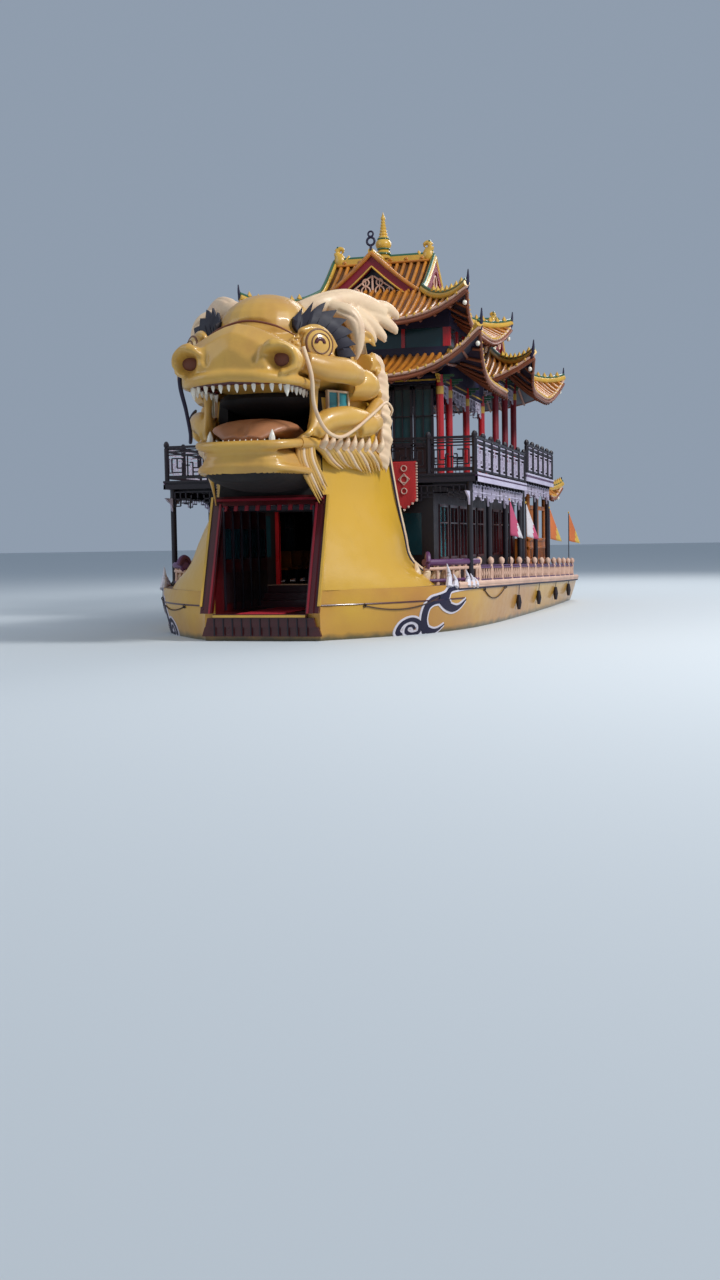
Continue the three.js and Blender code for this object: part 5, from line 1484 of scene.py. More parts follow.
def make_roofs():
    lower = ROOFS["fore_lower"]
    cut_aft = 14.7
    dress_roof("roof_fore_lower", lower, False,
               boxes=[block((-6, cut_aft, 6), (6, 20, 10.5))], keep=lambda p: p.y < SILL_Y + cut_aft,
               corners=(0, 1))
    upper = ROOFS["fore_upper"]
    shape = (*upper["inner"], upper["heights"][2], 12.0)
    extra = [ridge_block(*shape)] + gable_dress(*shape)
    dress_roof("roof_fore_upper", upper, True, extra=extra)
    aft = ROOFS["aft"]
    shape = (*aft["inner"], aft["heights"][2], 10.64)
    extra = [ridge_block(*shape)] + gable_dress(*shape)
    dress_roof("roof_aft", aft, True, boxes=[block((-3.1, 14, 6), (3.1, 16.7, 11))],
               keep=lambda p: abs(p.x) > 3.1 or p.y > SILL_Y + 16.7, extra=extra)
    stern = ROOFS["stern"]
    dress_roof("stern_roof", stern, True, boxes=[block((-6, 20, 3), (6, 21.64, 6))],
               keep=lambda p: p.y > SILL_Y + 21.64, corners=(2, 3))


def make_ridges():
    for name, half, aft, z, scale in (("ridge_fore", 1.62, RIDGE_AFT, 11.99, 1.0),
                                      ("ridge_aft", 2.8, 19.35, 10.63, 0.7)):
        ridge = Piece(name)
        tall = 0.24 if scale == 1 else 0.2
        ridge.box((-half, aft - 0.10, z), (half, aft + 0.10, z + tall), ridge_glaze())
        ridge.add(limb([(-half, aft, z + tall), (half, aft, z + tall)], [0.085, 0.085], 12, 4), green_glaze())
        for a in (aft - 0.11, aft + 0.11):
            ridge.add(limb([(-half, a, z + 0.03), (half, a, z + 0.03)], [0.045, 0.045], 8, 4), tile_glaze())
            for k in range(int(half * 4)):
                x = -half + 0.25 + k * (2 * half - 0.5) / max(1, int(half * 4) - 1)
                ridge.add(ellipsoid((x, a, z + 0.13), (0.07, 0.025, 0.05), around=10, down=6), tile_glaze())
        body = ridge.object()
        ends = []
        for side in (1, -1):
            x = half - 0.05 * scale
            shapes = [
                ellipsoid((x, aft, z + 0.22 * scale), (0.20 * scale, 0.15, 0.26 * scale)),
                limb([(x - 0.15 * scale, aft, z + 0.1), (x - 0.3 * scale, aft, z + 0.26 * scale),
                      (x - 0.34 * scale, aft, z + 0.4 * scale)], [0.12 * scale, 0.09 * scale, 0.03], 10, 8),
                limb([(x, aft, z + 0.3 * scale), (x + 0.1 * scale, aft, z + 0.5 * scale),
                      (x, aft, z + 0.64 * scale), (x - 0.14 * scale, aft, z + 0.58 * scale),
                      (x - 0.08 * scale, aft, z + 0.47 * scale)],
                     [0.14 * scale, 0.11 * scale, 0.085 * scale, 0.06 * scale, 0.02], 12, 16),
            ]
            ends.append(sculpt("ridge_end", [sided(s, side) for s in shapes], ridge_glaze(), grain=0.025,
                               rounds=2))
            crest = Piece("crest")
            for k in range(5):
                t = k / 4
                crest.add(sided(ellipsoid((x + (0.15 - 0.1 * t) * scale, aft, z + (0.25 + 0.42 * t) * scale),
                                          (0.055 * scale, 0.09, 0.055 * scale), around=10, down=6), side),
                          green_glaze())
            ends.append(crest.object())
        settle(merge(name, [body] + ends), (name,))
    finial = Piece("finial")
    profile = [(0, 0), (0.26, 0), (0.27, 0.06), (0.20, 0.12), (0.24, 0.18), (0.25, 0.22), (0.17, 0.30),
               (0.23, 0.36),
               (0.27, 0.44), (0.275, 0.52), (0.24, 0.60), (0.17, 0.66), (0.20, 0.70)]
    z, r = 0.72, 0.165
    for k in range(6):
        profile += [(r, z), (r, z + 0.045), (r * 0.72, z + 0.06), (r * 0.72, z + 0.085)]
        z += 0.1
        r *= 0.86
    profile += [(0.07, z), (0.085, z + 0.05), (0.05, z + 0.12), (0.02, z + 0.2), (0, 1.6)]
    finial.add(lathe((0, RIDGE_AFT, 12.18), profile, 24), ridge_glaze())
    for h, ring in ((0.16, 0.235), (0.33, 0.2), (0.67, 0.185)):
        finial.add(torus((0, RIDGE_AFT, 12.18 + h), ring, 0.028, UP), green_glaze())
    finial.done(("finial",), crease=50)


def make_front_gable():
    """The gable over the fore eave: tiled slopes, crimson verge boards and a pierced panel."""
    gable = Piece("front_gable")
    apex, foot, half = 12.04, 10.36, 2.35

    def line_z(x):
        s = 1 - abs(x) / half
        return foot + (apex - foot) * s ** 1.35

    xs = [half * t for t in shares(12)]
    fore, back = 11.8, 13.36
    for side in (1, -1):
        outline = [at(side * x, fore, line_z(x)) for x in xs]
        outline += [at(side * x, fore, line_z(x) - 0.10) for x in reversed(xs)]
        gable.add(slab(outline, Vector((0, back - fore, 0))), shaded_pan_glaze())
        board = [at(side * x, fore - 0.02, line_z(x) + 0.02) for x in xs]
        board += [at(side * x, fore - 0.02, line_z(x) - (0.46 - 0.10 * x / half)) for x in reversed(xs)]
        gable.add(slab(board, Vector((0, 0.09, 0))), crimson_paint(), False)
        gable.add(sided(limb([(x, fore - 0.06, line_z(x) + 0.03) for x in xs], [0.075, 0.06], 10, 24), side),
                  tile_glaze())
        gable.add(sided(limb([(x, fore - 0.05, line_z(x) - 0.41 + 0.08 * x / half) for x in xs], [0.03, 0.03],
                             8, 24), side),
                  ridge_glaze())
    back_board = [at(x, fore + 0.16, z)
                  for x, z in ((-1.75, foot - 0.2), (1.75, foot - 0.2), (0, apex - 0.42))]
    gable.add(slab(back_board, Vector((0, 0.06, 0))), dark_wood(), False)
    # Pierced panel: rings, a centre post and leaves
    panel = rail_paint()
    z0 = 10.60
    gable.box((-0.03, fore + 0.06, z0), (0.03, fore + 0.12, z0 + 0.75), panel)
    gable.box((-1.05, fore + 0.06, z0 - 0.03), (1.05, fore + 0.12, z0 + 0.03), panel)
    for side in (1, -1):
        for x, z, r in ((0.24, z0 + 0.24, 0.15), (0.24, z0 + 0.52, 0.11), (0.58, z0 + 0.2, 0.12),
                        (0.84, z0 + 0.13, 0.08)):
            gable.add(torus((side * x, fore + 0.09, z), r, 0.028, AFTWARD, 24, 8), panel)
            gable.box((side * x - 0.015, fore + 0.07, z - r), (side * x + 0.015, fore + 0.11, z + r), panel)
        gable.add(limb([(side * 0.05, fore + 0.09, z0 + 0.72), (side * 0.45, fore + 0.09, z0 + 0.45),
                        (side * 1.0, fore + 0.09, z0 + 0.06)], [0.03, 0.03], 8, 12), panel)
    slopes = gable.object(crease=45)
    rows = []
    for side in (1, -1):
        for k in range(int((back - fore) / sizes().tile_pitch) + 1):
            a = fore + 0.05 + k * sizes().tile_pitch
            rows.append([at(side * x, min(a, back), line_z(x) + 0.035) for x in xs])
    tiles = bars("gable_tiles", rows, sizes().tile_radius, tile_glaze(), 8)
    crown = Piece("gable_crown")
    crown.add(limb([(0, fore - 0.1, apex + 0.08), (0, back, apex + 0.08)], [0.10, 0.10], 12, 4),
              ridge_glaze())
    crown.add(torus((0, fore - 0.08, apex + 0.40), 0.13, 0.04, AFTWARD, 24, 8), navy_paint())
    crown.add(torus((0, fore - 0.08, apex + 0.64), 0.085, 0.032, AFTWARD, 24, 8), navy_paint())
    crown.add(limb([(0, fore - 0.08, apex + 0.1), (0, fore - 0.08, apex + 0.3)], [0.05, 0.04], 8, 4),
              navy_paint())
    settle(merge("front_gable", [slopes, tiles, crown.object()]), ("front_gable",))


# Decks, rails and pavilions
def lattice_panel(a, b, z0, z1, bar, pattern="meander"):
    """Slats of one rail panel between feet a and b (x, aft), from height z0 to z1."""
    ax, bx = Vector((a[0], a[1])), Vector((b[0], b[1]))

    def p(u, v):
        q = ax + (bx - ax) * u
        return at(q.x, q.y, z0 + (z1 - z0) * v)

    lines = [((0, 0), (1, 0)), ((0, 1), (1, 1))]
    if pattern == "meander":
        lines += [((0.0, 0.80), (1.0, 0.80)), ((0.08, 0.14), (0.08, 0.66)), ((0.92, 0.14), (0.92, 0.66)),
                  ((0.08, 0.14), (0.36, 0.14)), ((0.08, 0.66), (0.36, 0.66)), ((0.36, 0.0), (0.36, 0.5)),
                  ((0.22, 0.3), (0.22, 0.66)), ((0.22, 0.3), (0.36, 0.3)), ((0.64, 0.14), (0.92, 0.14)),
                  ((0.64, 0.66), (0.92, 0.66)), ((0.64, 0.0), (0.64, 0.5)), ((0.78, 0.3), (0.78, 0.66)),
                  ((0.64, 0.3), (0.78, 0.3)), ((0.5, 0.0), (0.5, 0.8)), ((0.44, 0.4), (0.56, 0.4)),
                  ((0.36, 0.5), (0.44, 0.5)), ((0.56, 0.5), (0.64, 0.5))]
    elif pattern == "valance":
        lines = [((0, 1), (1, 1)), ((0, 0.55), (1, 0.55)), ((0.0, 0), (0.0, 1)), ((0.12, 0.1), (0.12, 1)),
                 ((0.0, 0.1), (0.12, 0.1)), ((0.24, 0.3), (0.24, 1)), ((0.12, 0.3), (0.36, 0.3)),
                 ((0.36, 0.3), (0.36, 0.8)),
                 ((0.5, 0.4), (0.5, 1)), ((0.64, 0.3), (0.64, 0.8)), ((0.76, 0.3), (0.76, 1)),
                 ((0.64, 0.3), (0.88, 0.3)),
                 ((0.88, 0.1), (0.88, 1)), ((0.88, 0.1), (1, 0.1)), ((1, 0), (1, 1)),
                 ((0.36, 0.55), (0.64, 0.55))]
    return [(p(*s), p(*e), bar, bar) for s, e in lines]


def spread(a, b, pitch):
    count = max(1, round(math.dist(a, b) / pitch))
    return [tuple(a[c] + (b[c] - a[c]) * k / count for c in range(2)) for k in range(count + 1)]


def balcony_runs(deck, stern):
    x = deck["half"] - 0.09
    if stern:
        return [[(x, deck["from"] + 0.5), (x, deck["to"] - 0.09)],
                [(x, deck["to"] - 0.09), (-x, deck["to"] - 0.09)],
                [(-x, deck["to"] - 0.09), (-x, deck["from"] + 0.5)]]
    return [[(x, deck["to"] - 0.12), (x, deck["from"] + 0.09)],
            [(x, deck["from"] + 0.09), (-x, deck["from"] + 0.09)],
            [(-x, deck["from"] + 0.09), (-x, deck["to"] - 0.12)]]


def make_balconies():
    post = lathe((0, -SILL_Y, 0), [(0, -0.04), (0.075, -0.04), (0.075, 0.96), (0.055, 0.98),
                                   (0.085, 1.03), (0.09, 1.08), (0.05, 1.16), (0, 1.18)], 8)
    for name, deck, stern in (("balcony_fore", FORE_DECK, False), ("balcony_aft", AFT_DECK, True)):
        frames, fills, shaded, posts, seen = [], [], [], [], set()
        for start, end in balcony_runs(deck, stern):
            feet = spread(start, end, 1.32)
            for a, b in zip(feet, feet[1:]):
                ends = [Vector((*a, 0)), Vector((*b, 0))]
                gap = (ends[1] - ends[0]).normalized() * 0.07
                a2, b2 = tuple((ends[0] + gap).xy), tuple((ends[1] - gap).xy)
                z = deck["top"]
                frames += [(at(*a, z + h), at(*b, z + h), w, d) for h, w, d in
                           ((1.0, 0.10, 0.07), (0.86, 0.05, 0.05), (0.09, 0.07, 0.06))]
                # The front lattice of the fore balcony takes the dark finish instead of the white: painted
                # shade.
                ahead = deck is FORE_DECK and abs(a[1] - b[1]) < 0.01
                (shaded if ahead else fills).extend(lattice_panel(a2, b2, z + 0.14, z + 0.93, 0.036))
            for foot in feet:
                key = (round(foot[0], 2), round(foot[1], 2))
                if key not in seen:
                    seen.add(key)
                    posts.append((at(*foot, deck["top"]), UPRIGHT, FULL_SIZE))
        made = merge(name, [slats(name + "_frame", frames + shaded, dark_wood()),
                            slats(name + "_fill", fills, white_paint()),
                            copies(name + "_posts", post, posts, dark_wood())])
        settle(made, (name,))


def make_upper_decks():
    for name, deck in (("upper_deck_fore", FORE_DECK), ("upper_deck_aft", AFT_DECK)):
        slab_piece = Piece(name)
        h, f, t, z0, z1 = deck["half"], deck["from"], deck["to"], deck["bottom"], deck["top"]
        slab_piece.box((-h + 0.03, f + 0.03, z0 + 0.02), (h - 0.03, t - 0.03, z1 - 0.03), soffit_paint())
        slab_piece.box((-h + 0.02, f + 0.02, z1 - 0.035), (h - 0.02, t - 0.02, z1), deck_planks())
        for z_low, z_high, out in ((z0, z0 + 0.14, 0.0), (z0 + 0.15, z1 - 0.05, -0.02),
                                   (z1 - 0.06, z1, 0.012)):
            paint = white_paint() if out > -0.01 else purple_paint()
            for side in (1, -1):
                slab_piece.box((side * (h - 0.06), f, z_low), (side * (h + out), t, z_high), paint)
            ends = [(f - out, f + 0.06)] if deck is FORE_DECK else [(t - 0.06, t + out)]
            for a0, a1 in ends:
                # The fore deck's front ends are painted dark instead of white and purple: painted shade.
                front = dark_wood() if deck is FORE_DECK else paint
                slab_piece.box((-h, a0, z_low), (h, a1, z_high), front)
        for k in range(int((t - f) / 0.62)):
            a = f + 0.35 + 0.62 * k
            slab_piece.box((-h + 0.1, a, z0 - 0.09), (h - 0.1, a + 0.08, z0 + 0.03), dark_wood())
        slab_piece.done((name,))
    valance = []
    for deck, rows in ((FORE_DECK, FORE_POSTS), (AFT_DECK, AFT_POSTS)):
        z = deck["bottom"] - 0.02
        for side in (1, -1):
            for a, b in zip(rows, rows[1:]):
                middle = (a + b) / 2
                for lo, hi in ((a + 0.1, middle), (middle, b - 0.1)):
                    valance += lattice_panel((side * (COLONNADE_X + 0.08), lo),
                                             (side * (COLONNADE_X + 0.08), hi),
                                             z - 0.52, z - 0.06, 0.034, "valance")
    # The valance across the fore deck's front is dark instead of white: painted shade.
    shaded = []
    for lo, hi in ((-4.4, -2.95), (-2.95, -1.5), (1.5, 2.95), (2.95, 4.4)):
        shaded += lattice_panel((lo, FORE_DECK["from"] + 0.04), (hi, FORE_DECK["from"] + 0.04),
                                3.6, 4.06, 0.034, "valance")
    settle(merge("deck_valance", [slats("sides", valance, white_paint()),
                                  slats("ahead", shaded, dark_wood())]))


def make_colonnades():
    for label, deck, rows in (("fore", FORE_DECK, FORE_POSTS), ("aft", AFT_DECK, AFT_POSTS)):
        for side, name in SIDES:
            posts = Piece(f"colonnade_{label}_{name}")
            x, top = side * COLONNADE_X, deck["bottom"] - 0.01
            for a in rows:
                base = hull_at(a)[1]
                posts.add(lathe((x, a, base), [(0, 0), (0.13, 0), (0.13, 0.08), (0.09, 0.14), (0.085, 0.2),
                                               (0.085, top - base - 0.3), (0.1, top - base - 0.28),
                                               (0.085, top - base - 0.2), (0.085, top - base),
                                               (0, top - base)], 16), dark_wood())
                for sign in (1, -1):
                    wing = [at(x, a + sign * u, top - v)
                            for u, v in ((0.06, 0.26), (0.62, 0.26), (0.4, 0.36), (0.22, 0.42),
                                         (0.12, 0.62), (0.06, 0.66))]
                    posts.add(slab([p - Vector((0.025, 0, 0)) for p in wing], Vector((0.05, 0, 0))),
                              white_paint(), False)
            posts.box((x - 0.05, deck["from"] + 0.06, top - 0.26), (x + 0.05, deck["to"] - 0.02, top),
                      dark_wood())
            posts.done((f"colonnade_{label}_{name}",))


def make_saloons():
    for label, deck, start, end, floor, first, last, pitch in (
            ("fore", FORE_DECK, 5.3, 14.35, 1.28, 6.1, 13.4, 1.5),
            ("aft", AFT_DECK, 14.45, 20.2, 1.12, 15.2, 19.5, 1.6)):
        walls = Piece(f"saloon_{label}")
        h, top = SALOON_HALF, deck["bottom"] - 0.012
        sill, lintel = 2.0, 3.5
        windows = []
        a = first
        while a < last:
            windows.append((a, a + 1.1))
            a += pitch
        for side in (1, -1):
            x0, x1 = side * (h - 0.09), side * h
            walls.box((x0, start, floor - 0.05), (x1, end, sill), saloon_wood())
            walls.box((x0, start, lintel), (x1, end, top), saloon_wood())
            marks = [start] + [v for w in windows for v in w] + [end]
            for lo, hi in zip(marks[::2], marks[1::2]):
                walls.box((x0, lo, sill), (x1, hi, lintel), saloon_wood())
            for lo, hi in windows:
                pane = window_glass() if label == "fore" and lo < 6.2 else dark_glass()
                walls.box((side * (h - 0.06), lo, sill), (side * (h - 0.04), hi, lintel), pane)
                for u0, u1, v0, v1 in ((lo - 0.05, hi + 0.05, 1.94, 2.02), (lo - 0.05, hi + 0.05, 3.48, 3.56),
                                       (lo - 0.05, lo + 0.02, sill, lintel),
                                       (hi - 0.02, hi + 0.05, sill, lintel),
                                       (lo + 0.53, lo + 0.57, sill, lintel), (lo, hi, 3.0, 3.04)):
                    walls.box((side * (h - 0.07), u0, v0), (side * (h + 0.03), u1, v1), maroon_paint())
        door = PASSAGE_HALF if label == "fore" else 0.7
        for a0, a1, gap in ((start, start + 0.09, door), (end - 0.09, end, 0.7)):
            for side in (1, -1):
                walls.box((side * gap, a0, floor - 0.05), (side * (h - 0.09), a1, top), saloon_wood())
                walls.box((side * (gap + 0.25), a0 - 0.012, 2.1), (side * (h - 0.35), a1 + 0.012, 3.3),
                          dark_glass())
                walls.box((side * gap, a0 - 0.03, floor), (side * (gap + 0.1), a1 + 0.03, lintel),
                          red_paint())
            walls.box((-gap, a0, 3.4), (gap, a1, top), saloon_wood())
        # Seats along both sides
        for side in (1, -1):
            a = start + 0.7
            while a < end - 1.2:
                walls.box((side * 1.6, a, floor + 0.38), (side * 3.1, a + 0.45, floor + 0.46), carved_paint())
                walls.box((side * 1.6, a + 0.41, floor + 0.46), (side * 3.1, a + 0.47, floor + 0.95),
                          carved_paint())
                for x in (1.65, 3.0):
                    walls.box((side * x, a + 0.05, floor), (side * (x + 0.06), a + 0.4, floor + 0.38),
                              dark_wood())
                a += 1.05
        walls.done((f"saloon_{label}",))


def lotus_post():
    profile = [(0, -0.02), (0.10, -0.02), (0.10, 0.05), (0.066, 0.10), (0.058, 0.30), (0.070, 0.46),
               (0.052, 0.52),
               (0.085, 0.56), (0.100, 0.62), (0.095, 0.68), (0.045, 0.735), (0, 0.75)]
    return lathe((0, -SILL_Y, 0), profile, 10)


def deck_edge_points(side, start, end, inset):
    line = []
    count = max(2, round((end - start) / sizes().lotus_pitch))
    for k in range(count + 1):
        aft = start + (end - start) * k / count
        deck, height = hull_at(aft)[:2]
        line.append(at(side * (deck - inset), aft, height))
    return line


def make_deck_rails():
    balusters = lathe((0, -SILL_Y, 0), [(0, 0), (0.035, 0), (0.028, 0.06), (0.05, 0.16), (0.03, 0.26),
                                        (0.035, 0.36), (0, 0.36)], 8)
    for side, name in SIDES:
        line = deck_edge_points(side, 5.7, RAIL_END, 0.17)
        corner = line[-1]
        line += [corner + (at(side * 0.7, RAIL_END, corner.z) - corner) * t for t in shares(4)[1:]]
        posts = [(p, UPRIGHT, FULL_SIZE) for p in line]
        small, rails = [], []
        for a, b in zip(line, line[1:]):
            rails += [(a + UP * 0.44, b + UP * 0.44, 0.09, 0.05), (a + UP * 0.08, b + UP * 0.08, 0.10, 0.06),
                      (a + UP * 0.50, b + UP * 0.50, 0.05, 0.03)]
            for k in (1, 2, 3, 4):
                small.append((a + (b - a) * (k / 5) + UP * 0.1, UPRIGHT, (1.0, 1.0, 0.95)))
        made = merge(f"deck_rail_{name}", [copies("posts", lotus_post(), posts, rail_paint()),
                                           slats("rails", rails, purple_paint()),
                                           copies("small_posts", balusters, small, rail_paint())])
        settle(made, (f"deck_rail_{name}",))
        band = Piece(f"bow_rail_{name}")
        run = [(side * 3.5, 3.5, 1.28), (side * 4.04, 4.1, 1.28), (side * 4.35, 4.8, 1.28),
               (side * 4.62, 5.6, 1.27)]
        band.add(limb([(x, a, z + 0.62) for x, a, z in run], [0.10, 0.085], 10, 20), purple_paint())
        band.add(limb([(x, a, z + 0.45) for x, a, z in run], [0.05, 0.05], 8, 20), rail_paint())
        band.add(limb([(x, a, z + 0.12) for x, a, z in run], [0.05, 0.05], 8, 20), purple_paint())
        for k in range(8):
            x, a, z = (partway([p[c] for p in run], 0.06 + 0.9 * k / 7) for c in range(3))
            band.add(limb([(x, a, z), (x, a, z + 0.3), (x, a, z + 0.56)], [0.06, 0.035, 0.05], 8, 8),
                     rail_paint())
        volute = []
        for k in range(26):
            turn = k / 25 * 3.6 * math.pi
            r = 0.25 - 0.21 * k / 25
            volute.append((side * (3.58 + 0.3 * r * math.cos(turn)), 3.62 - r * math.cos(turn),
                           1.92 + r * math.sin(turn)))
        band.add(limb(volute, [0.075, 0.045], 8, 90), purple_paint())
        # Cream flames between the neck and the rail
        for k in range(5):
            a, x = 3.3 + 0.32 * k, 3.25 + 0.2 * k
            band.add(sided(limb([(x, a, 1.3), (x + 0.1, a + 0.02, 1.62),
                                 (x + 0.02, a + 0.16, 1.92 - 0.05 * k)],
                                [0.15, 0.12, 0.02], 8, 10), side), cream_paint())
        band.done((f"bow_rail_{name}",))


def folding_doors(half, aft, low, high):
    """Dark folding doors across the front: leaves with a panel below and small dark panes above."""
    doors = Piece("folding_doors")
    leaves = 8
    for k in range(leaves):
        x0 = -half + 2 * half * k / leaves + 0.015
        x1 = -half + 2 * half * (k + 1) / leaves - 0.015
        middle = low + 0.36 * (high - low)
        doors.box((x0 + 0.05, aft, low), (x1 - 0.05, aft + 0.03, middle), saloon_wood())
        doors.box((x0 + 0.05, aft + 0.01, middle), (x1 - 0.05, aft + 0.02, high), dark_glass())
        for u0, u1, v0, v1 in ((x0, x0 + 0.07, low, high), (x1 - 0.07, x1, low, high),
                               (x0, x1, low, low + 0.1),
                               (x0, x1, middle - 0.05, middle + 0.05), (x0, x1, high - 0.1, high),
                               ((x0 + x1) / 2 - 0.015, (x0 + x1) / 2 + 0.015, middle, high),
                               (x0, x1, (middle + high) / 2 - 0.015, (middle + high) / 2 + 0.015)):
            doors.box((u0, aft - 0.03, v0), (u1, aft + 0.05, v1), dark_wood())
    return doors.object()


def make_pavilions():
    for name, half, rows, head in (("pavilion_fore_frame", 2.83, (9.1, 10.48, 13.4, 16.32), 7.66),
                                   ("pavilion_aft_frame", 3.23, (17.0, 19.1, 21.2), 8.56)):
        posts = Piece(name)
        bright = red_paint() if "fore" in name else crimson_paint()
        for a in rows:
            for x in (-half, half):
                foot = FORE_DECK["top"] if a < 14.4 else AFT_DECK["top"]
                tall = head - foot
                posts.add(lathe((x, a, foot), [(0, 0.001), (0.19, 0.001), (0.2, 0.06), (0.17, 0.12),
                                               (0.13, 0.16), (0.12, 0.2),
                                                     (0.118, tall - 0.35), (0.12, tall - 0.02),
                                               (0, tall - 0.02)], 20), bright)
                posts.add(lathe((x, a, foot + tall - 0.62), [(0.123, 0), (0.125, 0.03), (0.125, 0.2),
                                                             (0.123, 0.24)], 20), ridge_glaze())
                for level in range(3):
                    reach = 0.2 + 0.13 * level
                    z = head - 0.26 + 0.085 * level
                    posts.box((x - reach, a - 0.045, z), (x + reach, a + 0.045, z + 0.07), green_glaze())
                    posts.box((x - 0.045, a - reach, z), (x + 0.045, a + reach, z + 0.07), ridge_glaze())
        beam, band = (head - 0.26, head - 0.01), (head - 0.19, head - 0.14)
        for x in (-half, half):
            posts.box((x - 0.06, rows[0], beam[0]), (x + 0.06, rows[-1], beam[1]), navy_paint())
            posts.box((x - 0.065, rows[0], band[0]), (x + 0.065, rows[-1], band[1]), ridge_glaze())
        for a in rows:
            posts.box((-half, a - 0.055, beam[0]), (half, a + 0.055, beam[1]), navy_paint())
        posts.box((-half, rows[0] - 0.062, band[0]), (half, rows[0] + 0.062, band[1]), ridge_glaze())
        body = posts.object()
        fret = []
        z1, z0 = head - 0.3, head - 0.82
        for x in (-half, half):
            for a, b in zip(rows, rows[1:]):
                cuts = spread((x, a + 0.14), (x, b - 0.14), 1.3)
                for lo, hi in zip(cuts, cuts[1:]):
                    fret += lattice_panel(lo, hi, z0, z1, 0.034, "valance")
        # The front row's fret is dark instead of white: painted shade.
        shaded = []
        for a in (rows[0], rows[-1]):
            cuts = spread((-half + 0.14, a), (half - 0.14, a), 1.3)
            for lo, hi in zip(cuts, cuts[1:]):
                (shaded if a < 10 else fret).extend(lattice_panel(lo, hi, z0, z1, 0.034, "valance"))
        parts = [body, slats(name + "_fret", fret, white_paint())]
        if shaded:
            parts += [slats(name + "_front", shaded, dark_wood()),
                      folding_doors(half - 0.16, 8.92, 4.41, 7.3)]
        settle(merge(name, parts), (name,))
    lantern = Piece("lantern_wall")
    h, f, t, z0, z1 = 2.9, 10.4, 16.4, 7.66, 9.9
    sill, lintel = 8.7, 9.3
    for side in (1, -1):
        lantern.box((side * (h - 0.1), f, z0), (side * h, t, sill), navy_paint())
        lantern.box((side * (h - 0.1), f, lintel), (side * h, t, z1), navy_paint())
        for k in range(6):
            a = f + k * (t - f - 0.12) / 5
            lantern.box((side * (h - 0.1), a, sill), (side * (h + 0.02), a + 0.12, lintel), red_paint())
        lantern.box((side * (h - 0.07), f + 0.1, sill), (side * (h - 0.05), t - 0.1, lintel), dark_glass())
    for a0, a1 in ((f, f + 0.1), (t - 0.1, t)):
        lantern.box((-h + 0.1, a0, z0), (h - 0.1, a1, sill), navy_paint())
        lantern.box((-h + 0.1, a0, lintel), (h - 0.1, a1, z1), navy_paint())
        for k in range(5):
            x = -h + 0.1 + k * (2 * h - 0.32) / 4
            lantern.box((x, a0 - 0.01, sill), (x + 0.12, a1 + 0.01, lintel), red_paint())
        lantern.box((-h + 0.15, a0 + 0.03, sill), (h - 0.15, a0 + 0.05, lintel), dark_glass())
    lantern.done(("lantern_wall",))


